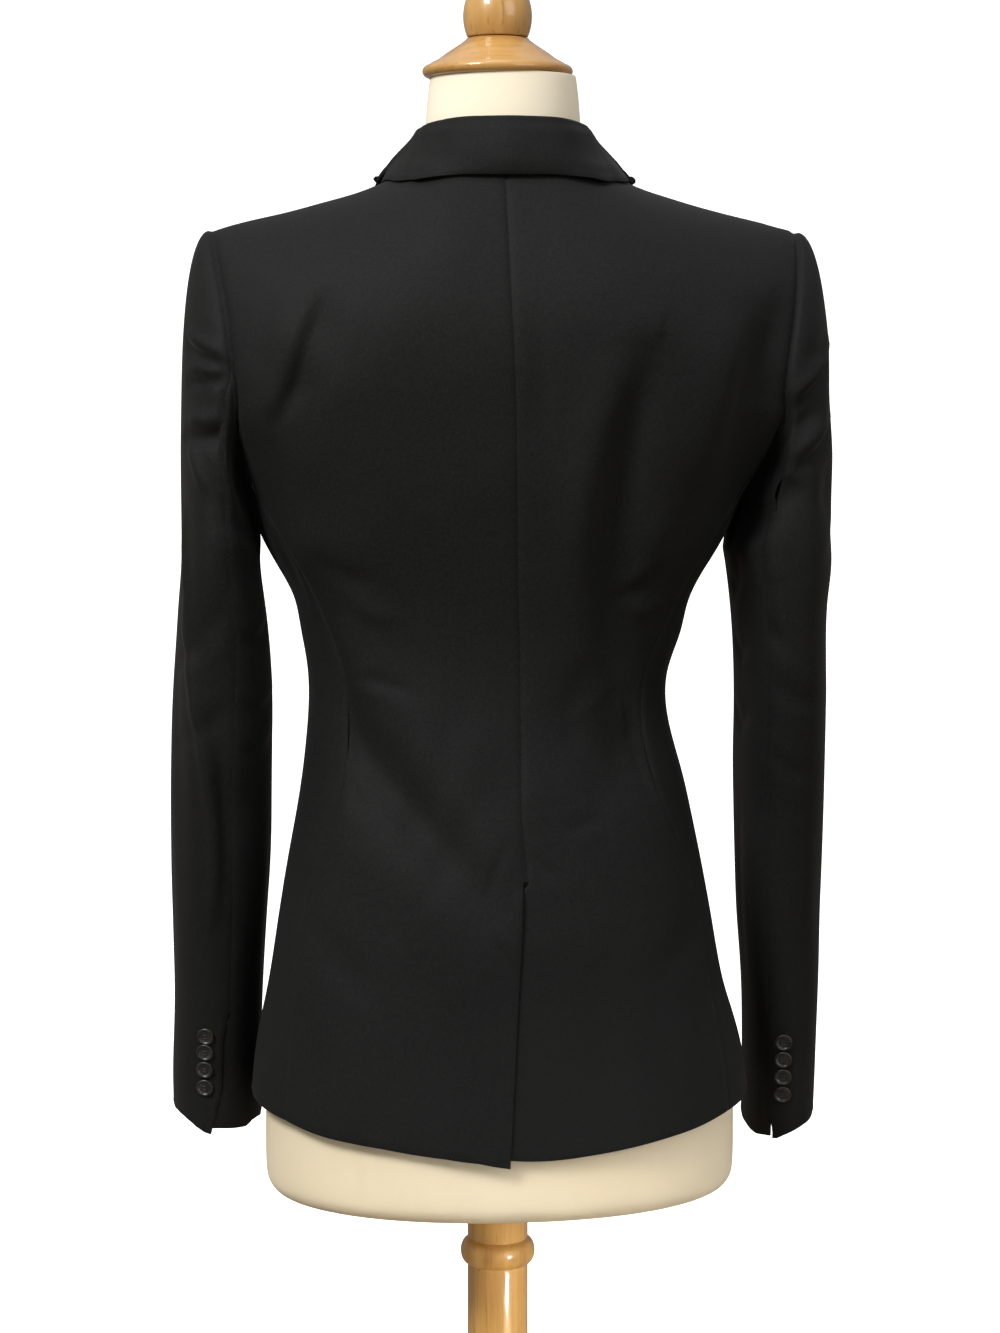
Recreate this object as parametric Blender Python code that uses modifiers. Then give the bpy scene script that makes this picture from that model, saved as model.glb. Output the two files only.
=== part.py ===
"""Single breasted blazer worn by a limbless dress form on a short wooden stand.

Metres, +Z up.  The front of the garment faces -Y, its wearer's left is +X, and the
origin is the middle of the base's underside.  Cloth pieces are walls through grids of
points: each grid runs between two seam lines of one body surface, or along a sleeve.
"""

import math
from collections import namedtuple

import bmesh
import bpy
import numpy as np

# ---------------------------------------------------------------- driving sizes

WALL = 0.0016  # cloth with its interlining
SEAM = 0.0003  # gap between neighbouring pieces
LAP = WALL + SEAM  # one layer lying on another

HEM_Z = 0.3125  # centre of the back hem
HEM_RISE = 0.80  # the hem climbs by this times x squared
SIDE_HEM_X = 0.152  # half width of the back at its hem
SHOULDER_END_X = 0.193
FRONT_NECK_X = 0.0625
BACK_NECK_Z = 0.953
ARMHOLE_TOP_Z = 0.916
ARMHOLE_SIDE_Z = 0.788  # where the side body meets the armhole
UNDERARM_Z = 0.745
ARMHOLE_JOIN_TURN = math.radians(121)
BACK_ROLL = 0.120  # height over which the back turns in to the neck
SHOULDER_ROLL = 0.105  # height over which it turns in to the shoulder seam
NECK_HALF_WIDTH = 0.062
NECK_BACK_DEPTH = 0.064

VENT_TOP_Z = 0.4915
VENT_UNDERLAP = 0.032
BUTTON_Z = 0.618
SEAM_STEPS = 17  # rows of the body below the armhole
ARMHOLE_STEPS = 12  # rows beside it

SLEEVE_BICEPS_Z = 0.700
SLEEVE_CUFF_Z = {"left": 0.3080, "right": 0.2960}
CUFF_TILT = {"left": 0.0020, "right": 0.0050}  # outer edge over the middle of the cuff
CUFF_DIP = 0.0020  # hind edge under it
SLEEVE_HEAD_SHARE = 0.34  # share of a sleeve's length that its head takes
SLEEVE_HEAD_ROPE = 0.004  # how far the sleeve head stands up over the seam
FRONT_SLEEVE_SEAM = math.radians(-118)
CUFF_BUTTON_RADIUS = 0.0060
CUFF_BUTTON_PITCH = 0.0127
CUFF_BUTTON_TOP_Z = {"left": 0.3673, "right": 0.3625}
CUFF_BUTTON_SEAT = -0.0002  # the flat strip that it stands on lies inside the curve
FRONT_BUTTON_RADIUS = 0.0105

FORM_BOTTOM_Z = 0.2680
FORM_NECK_TOP_Z = 1.0150
FORM_CLEARANCE = 0.0016
NECK_SHIFT = -0.0020  # the neck stands this far to the wearer's right

# ---------------------------------------------------------------- body tables

Body = namedtuple("Body", "z half_width back front squareness shift")
BODY = [
    Body(0.295, 0.1760, 0.1190, 0.1170, 2.15, 0.0000),
    Body(0.335, 0.1697, 0.1190, 0.1155, 2.15, 0.0000),
    Body(0.365, 0.1660, 0.1185, 0.1140, 2.15, 0.0008),
    Body(0.412, 0.1552, 0.1170, 0.1110, 2.20, 0.0030),
    Body(0.464, 0.1460, 0.1140, 0.1070, 2.20, 0.0037),
    Body(0.500, 0.1390, 0.1090, 0.1040, 2.20, 0.0040),
    Body(0.549, 0.1293, 0.0990, 0.0995, 2.20, 0.0050),
    Body(0.589, 0.1219, 0.0915, 0.0985, 2.20, 0.0080),
    Body(0.612, 0.1200, 0.0895, 0.0990, 2.20, 0.0088),
    Body(0.645, 0.1270, 0.0900, 0.1040, 2.20, 0.0060),
    Body(0.672, 0.1335, 0.0935, 0.1105, 2.25, 0.0056),
    Body(0.690, 0.1425, 0.0965, 0.1150, 2.27, 0.0045),
    Body(0.708, 0.1540, 0.0993, 0.1192, 2.30, 0.0045),
    Body(0.745, 0.1660, 0.1060, 0.1240, 2.35, 0.0025),
    Body(0.790, 0.1960, 0.1110, 0.1220, 2.45, -0.0020),
    Body(0.830, 0.2030, 0.1140, 0.1140, 2.50, -0.0030),
    Body(0.870, 0.2050, 0.1130, 0.1040, 2.50, -0.0040),
    Body(0.920, 0.2050, 0.1080, 0.0930, 2.40, -0.0040),
    Body(0.965, 0.2050, 0.1000, 0.0880, 2.40, -0.0040),
]

Shoulder = namedtuple("Shoulder", "x z")
SHOULDER = [
    Shoulder(0.050, 0.9575),
    Shoulder(0.062, 0.9550),
    Shoulder(0.083, 0.9460),
    Shoulder(0.113, 0.9360),
    Shoulder(0.153, 0.9255),
    Shoulder(0.193, 0.9160),
    Shoulder(0.210, 0.9110),
]

# Half widths at which the seams run, out from the middle of the body at each height.
Seam = namedtuple("Seam", "z x")
ARMHOLE_SEAM = [
    Seam(0.745, 0.1660),
    Seam(0.755, 0.1700),
    Seam(0.770, 0.1730),
    Seam(0.788, 0.1760),
    Seam(0.820, 0.1795),
    Seam(0.860, 0.1850),
    Seam(0.890, 0.1900),
    Seam(0.917, SHOULDER_END_X),
    Seam(0.960, SHOULDER_END_X),
]
SIDE_BACK_SEAM = [
    Seam(0.300, 0.1520),
    Seam(0.400, 0.1420),
    Seam(0.492, 0.1260),
    Seam(0.544, 0.1070),
    Seam(0.612, 0.0980),
    Seam(0.662, 0.1145),
    Seam(0.696, 0.1320),
    Seam(0.737, 0.1570),
    Seam(0.788, 0.1760),
    Seam(0.830, 0.1800),
]
SIDE_FRONT_SEAM = [
    Seam(0.300, 0.1560),
    Seam(0.400, 0.1440),
    Seam(0.492, 0.1290),
    Seam(0.544, 0.1170),
    Seam(0.612, 0.1100),
    Seam(0.662, 0.1240),
    Seam(0.696, 0.1400),
    Seam(0.737, 0.1590),
    Seam(0.788, 0.1760),
    Seam(0.830, 0.1800),
]
CENTRE_BACK_SEAM = [
    Seam(0.295, 0.0040),
    Seam(0.3106, 0.0036),
    Seam(0.3884, 0.0000),
    Seam(0.4915, -0.0050),
    Seam(0.5476, -0.0055),
    Seam(0.612, -0.0057),
    Seam(0.704, -0.0030),
    Seam(0.818, 0.0000),
    Seam(0.868, 0.0020),
    Seam(0.955, 0.0024),
]
FRONT_EDGE = [
    Seam(0.318, 0.0560),
    Seam(0.330, 0.0380),
    Seam(0.345, 0.0220),
    Seam(0.368, 0.0080),
    Seam(0.405, -0.0050),
    Seam(0.460, -0.0140),
    Seam(0.530, -0.0178),
    Seam(0.635, -0.0180),
    Seam(0.700, -0.0035),
    Seam(0.800, 0.0230),
    Seam(0.8985, 0.0485),
    Seam(0.925, 0.0545),
    Seam(0.945, 0.0595),
    Seam(0.956, FRONT_NECK_X),
]

# Troughs (negative depth) and ridges in the cloth of the back, each along one line.
Fold = namedtuple("Fold", "x0 z0 x1 z1 width depth")
BACK_FOLDS = [
    Fold(0.112, 0.872, 0.148, 0.780, 0.0110, -0.0040),
    Fold(0.128, 0.868, 0.163, 0.790, 0.0100, 0.0025),
    Fold(-0.095, 0.830, -0.069, 0.700, 0.0130, -0.0045),
    Fold(-0.120, 0.840, -0.088, 0.700, 0.0120, 0.0030),
    Fold(-0.166, 0.860, -0.158, 0.770, 0.0100, -0.0045),
    Fold(0.100, 0.612, 0.010, 0.480, 0.0110, -0.0035),
    Fold(0.070, 0.612, -0.030, 0.540, 0.0120, 0.0020),
    Fold(-0.105, 0.600, -0.050, 0.540, 0.0110, -0.0025),
]
FRONT_FOLDS = [
    Fold(0.135, 0.860, 0.150, 0.785, 0.0110, -0.0035),
    Fold(-0.138, 0.865, -0.150, 0.785, 0.0110, -0.0040),
    Fold(0.015, 0.612, 0.095, 0.655, 0.0090, -0.0025),
    Fold(-0.015, 0.612, -0.090, 0.665, 0.0100, -0.0030),
    Fold(0.020, 0.600, 0.095, 0.545, 0.0110, -0.0025),
    Fold(-0.020, 0.600, -0.100, 0.535, 0.0110, -0.0030),
]

# ---------------------------------------------------------------- sleeve tables

Sleeve = namedtuple("Sleeve", "z left_out left_in right_out right_in y half_depth")
SLEEVE = [
    Sleeve(0.285, 0.2235, 0.1625, 0.2270, 0.1795, -0.063, 0.0480),
    Sleeve(0.335, 0.2240, 0.1625, 0.2275, 0.1790, -0.058, 0.0485),
    Sleeve(0.395, 0.2220, 0.1610, 0.2275, 0.1765, -0.050, 0.0500),
    Sleeve(0.445, 0.2225, 0.1580, 0.2265, 0.1715, -0.042, 0.0520),
    Sleeve(0.490, 0.2230, 0.1550, 0.2260, 0.1685, -0.034, 0.0545),
    Sleeve(0.560, 0.2220, 0.1535, 0.2245, 0.1650, -0.022, 0.0580),
    Sleeve(0.600, 0.2205, 0.1530, 0.2235, 0.1645, -0.016, 0.0600),
    Sleeve(0.655, 0.2165, 0.1560, 0.2215, 0.1610, -0.009, 0.0630),
    Sleeve(0.700, 0.2130, 0.1620, 0.2240, 0.1550, -0.004, 0.0655),
]
HIND_SEAM = {"left": math.radians(103), "right": math.radians(125)}
UPPER_COLUMNS = 14  # points across an upper sleeve, one strip between each two

# Creases round the sleeves: height and turn of their middles, half lengths, depth.
Crease = namedtuple("Crease", "side t turn height reach depth")
SLEEVE_CREASES = [
    Crease("left", 0.17, 80, 0.012, 45, -0.0022),
    Crease("left", 0.21, 60, 0.010, 40, -0.0018),
    Crease("left", 0.27, 95, 0.014, 50, -0.0030),
    Crease("left", 0.33, 130, 0.012, 40, -0.0025),
    Crease("left", 0.62, 110, 0.018, 45, -0.0020),
    Crease("right", 0.20, 55, 0.012, 45, -0.0028),
    Crease("right", 0.28, 70, 0.012, 50, -0.0028),
    Crease("right", 0.35, 110, 0.014, 50, -0.0020),
    Crease("right", 0.63, 120, 0.018, 45, -0.0020),
]

# ---------------------------------------------------------------- collar table

# One side from the centre back round to the end of the fall.  on: which face of the
# body it lies on; seam and fall: half width and height there; roll: the fold's top.
CollarRow = namedtuple("CollarRow", "on seam_x seam_z roll_x roll_y roll_z fall_x fall_z")
COLLAR = [
    CollarRow("back", 0.0000, 0.9490, 0.0000, 0.0600, 0.9866, 0.0000, 0.9455),
    CollarRow("back", 0.0280, 0.9495, 0.0300, 0.0530, 0.9862, 0.0310, 0.9455),
    CollarRow("back", 0.0500, 0.9505, 0.0478, 0.0290, 0.9845, 0.0560, 0.9450),
    CollarRow("back", 0.0600, 0.9530, 0.0535, 0.0150, 0.9822, 0.0725, 0.9450),
    CollarRow("front", 0.0655, 0.9700, 0.0555, -0.0010, 0.9780, 0.0845, 0.9700),
    CollarRow("front", 0.0655, 0.9440, 0.0570, -0.0360, 0.9555, 0.0925, 0.9300),
    CollarRow("front", 0.0610, 0.9200, 0.0540, -0.0720, 0.9230, 0.0940, 0.9060),
    CollarRow("front", 0.0580, 0.9060, 0.0500, -0.0920, 0.8995, 0.0900, 0.8900),
]
COLLAR_LIFT = 0.0034  # outer face of the fall over the body
LAPEL_TOP_Z = 0.8925
LAPEL_TOP_DROP = 0.0250
LAPEL_EDGE = [
    Seam(0.640, -0.0080),
    Seam(0.700, 0.0330),
    Seam(0.760, 0.0670),
    Seam(0.820, 0.0930),
    Seam(0.8725, 0.1120),
    Seam(0.900, 0.1160),
]

# ---------------------------------------------------------------- form table

Ring = namedtuple("Ring", "z half_width back front squareness")
FORM = [
    Ring(FORM_BOTTOM_Z, 0.1420, 0.0950, 0.0900, 2.15),
    Ring(0.2700, 0.1525, 0.1045, 0.0995, 2.15),
    Ring(0.2755, 0.1580, 0.1100, 0.1045, 2.15),
    Ring(0.2860, 0.1600, 0.1120, 0.1065, 2.15),
    Ring(0.3400, 0.1590, 0.1120, 0.1065, 2.15),
    Ring(0.3900, 0.1510, 0.1100, 0.1030, 2.15),
    Ring(0.4600, 0.1370, 0.1040, 0.0970, 2.15),
    Ring(0.5400, 0.1200, 0.0890, 0.0880, 2.15),
    Ring(0.6120, 0.1080, 0.0780, 0.0860, 2.10),
    Ring(0.6600, 0.1180, 0.0810, 0.0950, 2.15),
    Ring(0.7060, 0.1380, 0.0880, 0.1070, 2.20),
    Ring(0.7450, 0.1540, 0.0950, 0.1120, 2.20),
    Ring(0.7800, 0.1640, 0.0990, 0.1100, 2.20),
    Ring(0.8200, 0.1710, 0.1030, 0.1040, 2.20),
    Ring(0.8500, 0.1740, 0.1050, 0.0970, 2.20),
    Ring(0.8750, 0.1745, 0.1060, 0.0920, 2.20),
    Ring(0.8950, 0.1735, 0.1050, 0.0880, 2.20),
    Ring(0.9100, 0.1715, 0.1030, 0.0850, 2.20),
    Ring(0.9200, 0.1690, 0.1000, 0.0830, 2.20),
    Ring(0.9290, 0.1560, 0.0950, 0.0800, 2.20),
    Ring(0.9370, 0.1180, 0.0740, 0.0690, 2.10),
    Ring(0.9440, 0.0840, 0.0600, 0.0590, 2.00),
    Ring(0.9510, 0.0600, 0.0520, 0.0540, 2.00),
    Ring(0.9600, 0.0522, 0.0490, 0.0500, 2.00),
    Ring(0.9860, 0.0512, 0.0480, 0.0485, 2.00),
    Ring(1.0130, 0.0487, 0.0470, 0.0475, 2.00),
    Ring(FORM_NECK_TOP_Z, 0.0477, 0.0460, 0.0465, 2.00),
]

# ---------------------------------------------------------------- helpers


def smooth(rows, column, at, key="z"):
    """Reads a table's column at a place, on a curve through its rows."""
    keys = np.array([getattr(row, key) for row in rows], float)
    values = np.array([getattr(row, column) for row in rows], float)
    slopes = np.gradient(values, keys)
    steps = np.diff(values) / np.diff(keys)
    for i in range(1, len(steps)):
        if steps[i - 1] * steps[i] <= 0:
            slopes[i] = 0.0
    at = float(np.clip(at, keys[0], keys[-1]))
    i = int(np.clip(np.searchsorted(keys, at) - 1, 0, len(steps) - 1))
    span = keys[i + 1] - keys[i]
    u = (at - keys[i]) / span
    rise = values[i + 1] - values[i]
    left = slopes[i] * span
    right = slopes[i + 1] * span
    return values[i] + u * (left + u * (3 * rise - 2 * left - right + u * (left + right - 2 * rise)))


def ease(u):
    """A soft step from 0 to 1."""
    u = min(max(u, 0.0), 1.0)
    return u * u * (3 - 2 * u)


def unit(vector):
    return vector / np.linalg.norm(vector)


def shoulder_z(x):
    """Height of the shoulder and neck seam at a half width."""
    if x < NECK_HALF_WIDTH:
        return BACK_NECK_Z + (SHOULDER[1].z - BACK_NECK_Z) * (x / NECK_HALF_WIDTH) ** 2
    return smooth(SHOULDER, "z", x, "x")


def shift(z):
    return smooth(BODY, "shift", z)


def body_depth(x, z, face):
    """How far the cloth's outer face lies behind or before the middle at x and z."""
    x = abs(x)
    half = smooth(BODY, "half_width", z)
    power = smooth(BODY, "squareness", z)
    depth = smooth(BODY, face, z)
    full = depth * max(1 - (min(x, half) / half) ** power, 0.0) ** (1 / power)
    across = min(x / 0.080, 1.0)
    roll = BACK_ROLL + (SHOULDER_ROLL - BACK_ROLL) * across
    top = shoulder_z(x)
    q = (z - (top - roll)) / roll
    if q <= 0:
        return full
    seat = 0.0
    bend = 0.5
    if face == "back":
        seat = NECK_BACK_DEPTH * math.sqrt(max(1 - (x / NECK_HALF_WIDTH) ** 2, 0.0))
        bend = 1.0 - 0.5 * ease(across)
    return seat + (full - seat) * max(1 - min(q, 1.0) ** 2, 0.0) ** bend


def fold_depth(x, z, folds):
    """Sum of the folds at a place, each fading at its ends and sides."""
    total = 0.0
    for fold in folds:
        run = np.array([fold.x1 - fold.x0, fold.z1 - fold.z0])
        away = np.array([x - fold.x0, z - fold.z0])
        along = float(away @ run / (run @ run))
        near = min(max(along, 0.0), 1.0)
        aside = np.linalg.norm(away - near * run)
        fade = 0.35 + 0.65 * math.sin(math.pi * near) ** 0.7
        total += fold.depth * fade * math.exp(-((aside / fold.width) ** 2))
    return total


def body_point(x, z, face, sign):
    """Outer face of the cloth.  x is a half width, sign is 1 on the wearer's left."""
    middle = shift(z)
    depth = body_depth(x, z, face)
    if face == "back":
        return np.array([middle + sign * x, max(depth, SEAM / 2), z])
    return np.array([middle + sign * x, -max(depth, SEAM / 2), z])


def body_frame(x, z, face, sign):
    """A point of the outer face and the outward direction there."""
    step = 0.0006
    low = min(z, shoulder_z(abs(x)) - step)
    across = body_point(x + step, low, face, sign) - body_point(x - step, low, face, sign)
    along = body_point(x, low, face, sign) - body_point(x, low - step, face, sign)
    normal = np.cross(across, along)
    ahead = 1.0 if face == "back" else -1.0
    if normal[1] * ahead < 0:
        normal = -normal
    return body_point(x, z, face, sign), unit(normal)


def moved_out(x, z, face, sign, lift):
    point, normal = body_frame(x, z, face, sign)
    return point + normal * lift


def linked(name, mesh, material):
    """Puts a mesh in the collection as a named object with its material."""
    mesh.materials.append(material)
    obj = bpy.data.objects.new(name, mesh)
    parts.objects.link(obj)
    return obj


def shade(mesh, angle=50):
    mesh.shade_smooth()
    mesh.set_sharp_from_angle(angle=math.radians(angle))


def wall_piece(name, outer, normals, material, wall=WALL, mirrored=False):
    """A closed wall: a grid of outer points, the same moved in, and a rim between."""
    outer = np.asarray(outer)
    inner = outer - np.asarray(normals) * wall
    rows, columns = outer.shape[:2]
    bm = bmesh.new()
    skins = [[[bm.verts.new(p) for p in row] for row in skin] for skin in (outer, inner)]
    quads = []
    for i in range(rows - 1):
        for j in range(columns - 1):
            for skin, ahead in ((skins[0], True), (skins[1], False)):
                quad = [skin[i][j], skin[i][j + 1], skin[i + 1][j + 1], skin[i + 1][j]]
                quads.append(quad if ahead else quad[::-1])
    border = [(0, j) for j in range(columns)]
    border += [(i, columns - 1) for i in range(1, rows)]
    border += [(rows - 1, j) for j in range(columns - 2, -1, -1)]
    border += [(i, 0) for i in range(rows - 2, 0, -1)]
    for here, there in zip(border, border[1:] + border[:1]):
        out_a, out_b = skins[0][here[0]][here[1]], skins[0][there[0]][there[1]]
        in_a, in_b = skins[1][here[0]][here[1]], skins[1][there[0]][there[1]]
        quads.append([out_b, out_a, in_a, in_b])
    for quad in quads:
        bm.faces.new(quad[::-1] if mirrored else quad)
    mesh = bpy.data.meshes.new(name)
    bm.to_mesh(mesh)
    bm.free()
    shade(mesh)
    return linked(name, mesh, material)


def turned(name, profile, sides, material, centre=(0, 0, 0)):
    """A turned piece: (radius, height) points from the top of its axis to the bottom."""
    mesh = bpy.data.meshes.new(name)
    points = [(r, 0, z) for r, z in profile]
    mesh.from_pydata(points, [(i, i + 1) for i in range(len(points) - 1)], [])
    obj = linked(name, mesh, material)
    obj.location = centre
    screw = obj.modifiers.new("turn", "SCREW")
    screw.steps = sides
    screw.render_steps = sides
    screw.use_merge_vertices = True
    screw.merge_threshold = 0.00001
    screw.use_smooth_shade = True
    return obj


def finish(name, colour, roughness):
    material = bpy.data.materials.new(name)
    material.use_nodes = True
    shader = material.node_tree.nodes["Principled BSDF"]
    shader.inputs["Base Color"].default_value = (*colour, 1)
    shader.inputs["Roughness"].default_value = roughness
    shader.inputs["Metallic"].default_value = 0.0
    return material


# ---------------------------------------------------------------- body pieces


def hem_z(x):
    return HEM_Z + HEM_RISE * x**2


def seam_levels():
    """Shares of the way up the side of a panel, hem 0 and shoulder 1, by row."""
    low, turn, high = hem_z(SIDE_HEM_X), ARMHOLE_SIDE_Z, shoulder_z(SHOULDER_END_X)
    below = [low + (turn - low) * k / SEAM_STEPS for k in range(SEAM_STEPS)]
    beside = []
    for k in range(ARMHOLE_STEPS + 1):
        beside.append(turn + (high - turn) * math.sin(k / ARMHOLE_STEPS * math.pi / 2))
    return [(z - low) / (high - low) for z in below + beside]


def back_panel(side, sign):
    """Half of the back, from the centre seam to the side seam and the armhole."""
    columns = 10
    start = sign * (CENTRE_BACK_SEAM[-1].x - shift(BACK_NECK_Z)) + SEAM / 2
    outer, normals = [], []
    for t in seam_levels():
        line, line_normals = [], []
        for j in range(columns):
            s = j / (columns - 1)
            outer_x = start + (SHOULDER_END_X - start) * s
            base = hem_z(SIDE_HEM_X * s)
            if side == "right":
                base += 0.0045 * (1 - ease(s * 3))
            top = shoulder_z(abs(outer_x))
            z = base + (top - base) * t
            middle = shift(z)
            centre = sign * (smooth(CENTRE_BACK_SEAM, "x", z) - middle) + SEAM / 2
            if side == "right" and z < VENT_TOP_Z:
                centre -= VENT_UNDERLAP * ease((VENT_TOP_Z - z) / 0.020)
            edge = ARMHOLE_SEAM if z > ARMHOLE_SIDE_Z else SIDE_BACK_SEAM
            end = smooth(edge, "x", z) - SEAM / 2
            x = centre + (end - centre) * s
            point, normal = body_frame(x, z, "back", sign)
            world_x = point[0]
            lift = fold_depth(world_x, z, BACK_FOLDS) * ease((end - x) / 0.025)
            if side == "left":
                near = ease((0.062 - x) / 0.022) * ease((VENT_TOP_Z + 0.045 - z) / 0.045)
                lift += (LAP + 0.0005) * near
            line.append(point + normal * lift)
            line_normals.append(normal)
        outer.append(line)
        normals.append(line_normals)
    wall_piece("back_" + side, outer, normals, WOOL, mirrored=sign > 0)


def side_turn(x, z):
    """Where x lies round a section: 0 at the side, 1 towards the middle."""
    half = smooth(BODY, "half_width", z)
    power = smooth(BODY, "squareness", z)
    ratio = min(max(x / half, 0.0), 1.0)
    return math.acos(ratio ** (power / 2))


def side_point(turn, z, sign):
    """A point of the outer face at a turn from the side, positive to the back."""
    half = smooth(BODY, "half_width", z)
    power = smooth(BODY, "squareness", z)
    face = "back" if turn >= 0 else "front"
    depth = smooth(BODY, face, z)
    x = half * abs(math.cos(turn)) ** (2 / power)
    y = depth * abs(math.sin(turn)) ** (2 / power)
    return np.array([shift(z) + sign * x, y if turn >= 0 else -y, z])


def side_place(s, z, sign):
    """Point and normal across the side body: s is 0 at the back seam, 1 at the front."""
    back = side_turn(smooth(SIDE_BACK_SEAM, "x", z) + SEAM / 2, z)
    front = -side_turn(smooth(SIDE_FRONT_SEAM, "x", z) + SEAM / 2, z)
    turn = back + (front - back) * s
    step = 0.01
    point = side_point(turn, z, sign)
    across = side_point(turn + step, z, sign) - side_point(turn - step, z, sign)
    along = side_point(turn, z + 0.002, sign) - side_point(turn, z - 0.002, sign)
    normal = unit(np.cross(across, along))
    if normal[0] * sign < 0:
        normal = -normal
    return point, normal


def side_top(s):
    """Height of the underarm edge across the side body."""
    return UNDERARM_Z + (ARMHOLE_SIDE_Z - UNDERARM_Z) * abs(2 * s - 1) ** 2.2


def side_panel(side, sign):
    columns = 7
    outer, normals = [], []
    for i in range(SEAM_STEPS + 1):
        t = i / SEAM_STEPS
        line, line_normals = [], []
        for j in range(columns):
            s = j / (columns - 1)
            base = hem_z(SIDE_HEM_X + 0.018 * math.sin(math.pi * s))
            z = base + (side_top(s) - base) * t
            point, normal = side_place(s, z, sign)
            line.append(point)
            line_normals.append(normal)
        outer.append(line)
        normals.append(line_normals)
    wall_piece("side_" + side, outer, normals, WOOL, mirrored=sign > 0)


def front_hem(x):
    """Height of the front hem at a half width: it dips a little, then rounds away."""
    return hem_z(SIDE_HEM_X) - 0.010 * ease((0.155 - x) / 0.090)


def front_lap(x, z, side):
    """How far the right front is lifted where it laps over the left one."""
    if side == "left":
        return 0.0
    return (LAP + 0.0006) * ease((0.046 - x) / 0.024) * ease((0.775 - z) / 0.05)


def shoulder_x(s):
    """Half width where a front meets the shoulder seam, s being 0 at the neck and 1 at the sleeve."""
    x = FRONT_NECK_X + (SHOULDER_END_X - FRONT_NECK_X) * s
    for _ in range(8):
        z = shoulder_z(x)
        start = smooth(FRONT_EDGE, "x", z)
        x = start + (smooth(ARMHOLE_SEAM, "x", z) - SEAM / 2 - start) * s
    return x


def front_panel(side, sign):
    columns = 9
    outer, normals = [], []
    tops = [shoulder_x(j / (columns - 1)) for j in range(columns)]
    for t in seam_levels():
        line, line_normals = [], []
        for j, top_x in enumerate(tops):
            s = j / (columns - 1)
            base = front_hem(0.060 + 0.095 * s)
            z = base + (shoulder_z(top_x) - base) * t
            start = smooth(FRONT_EDGE, "x", z)
            edge = ARMHOLE_SEAM if z > ARMHOLE_SIDE_Z else SIDE_FRONT_SEAM
            end = smooth(edge, "x", z) - SEAM / 2
            x = start + (end - start) * s
            point, normal = body_frame(x, z, "front", sign)
            lift = fold_depth(point[0], z, FRONT_FOLDS) * ease((end - x) / 0.025)
            lift += front_lap(x, z, side)
            line.append(point + normal * lift)
            line_normals.append(normal)
        outer.append(line)
        normals.append(line_normals)
    wall_piece("front_" + side, outer, normals, WOOL, mirrored=sign < 0)


def lapel(side, sign):
    """The turned-out facing that lies on the chest, from the roll line outwards."""
    rows, columns = 13, 5
    foot = 0.648 if side == "right" else 0.724
    outer, normals = [], []
    for i in range(rows):
        t = i / (rows - 1)
        line, line_normals = [], []
        for j in range(columns):
            s = j / (columns - 1)
            low = foot + 0.004 * s
            z = low + (LAPEL_TOP_Z - LAPEL_TOP_DROP * s - low) * t
            roll = smooth(FRONT_EDGE, "x", z) + 0.0006
            edge = max(smooth(LAPEL_EDGE, "x", z), roll + 0.004)
            x = roll + (edge - roll) * s
            point, normal = body_frame(x, z, "front", sign)
            fold = fold_depth(point[0], z, FRONT_FOLDS)
            lift = fold + LAP + 0.0008 + 0.0030 * (1 - s) ** 2 * ease(t * 6)
            lift += front_lap(x, z, side)
            line.append(point + normal * lift)
            line_normals.append(normal)
        outer.append(line)
        normals.append(line_normals)
    wall_piece("lapel_" + side, outer, normals, WOOL, mirrored=sign < 0)


# ---------------------------------------------------------------- collar


def collar_line(u):
    """Seam, roll and fall points at u: -1 and 1 are the ends, 0 is the centre back."""
    sign = 1 if u >= 0 else -1
    place = abs(u) * (len(COLLAR) - 1)
    i = min(int(place), len(COLLAR) - 2)
    numbered = [row._replace(on=float(k)) for k, row in enumerate(COLLAR)]

    def read(column):
        return smooth(numbered, column, place, "on")

    def landed(x, z):
        ends = []
        for row in (COLLAR[i], COLLAR[i + 1]):
            top = min(z, shoulder_z(x) - 0.0005)
            ends.append(moved_out(x, top, row.on, sign, LAP + 0.0010))
        return ends[0] + (ends[1] - ends[0]) * (place - i)

    seam = landed(read("seam_x"), read("seam_z"))
    fall = landed(read("fall_x"), read("fall_z")) + np.array([0, 0, COLLAR_LIFT - LAP])
    roll = np.array([NECK_SHIFT + sign * read("roll_x"), read("roll_y"), read("roll_z")])
    return seam, roll, fall


def collar():
    """Stand and fall in one: up from the neck seam, over the roll and down outside."""
    columns = 33
    lines = []
    for j in range(columns):
        u = 2 * j / (columns - 1) - 1
        seam, roll, fall = collar_line(u)
        out = fall - seam
        out[2] = 0
        out = unit(out)
        up = np.array([0, 0, 1.0])
        crown = 0.0034
        path = [
            seam,
            seam + (roll - seam) * 0.5 - out * 0.0010,
            roll - out * crown - up * 0.0045,
            roll - out * crown * 0.70 - up * 0.0012,
            roll,
            roll + out * crown * 0.75 - up * 0.0012,
            roll + out * crown * 1.15 - up * 0.0048,
        ]
        start = path[-1]
        bulge = 0.0020 - 0.0042 * ease(abs(u) * 2.6) * ease((0.58 - abs(u)) / 0.12)
        for k in (0.33, 0.67, 1.0):
            path.append(start + (fall - start) * k + out * bulge * math.sin(math.pi * k))
        lines.append(path)
    outer = np.array(lines)
    normals = np.empty_like(outer)
    for j in range(columns):
        for k in range(outer.shape[1]):
            ahead = outer[min(j + 1, columns - 1), k] - outer[max(j - 1, 0), k]
            down = outer[j, min(k + 1, outer.shape[1] - 1)] - outer[j, max(k - 1, 0)]
            normals[j, k] = unit(np.cross(ahead, down))
    wall_piece("collar", outer, normals, WOOL, mirrored=True)


# ---------------------------------------------------------------- sleeves


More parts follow.
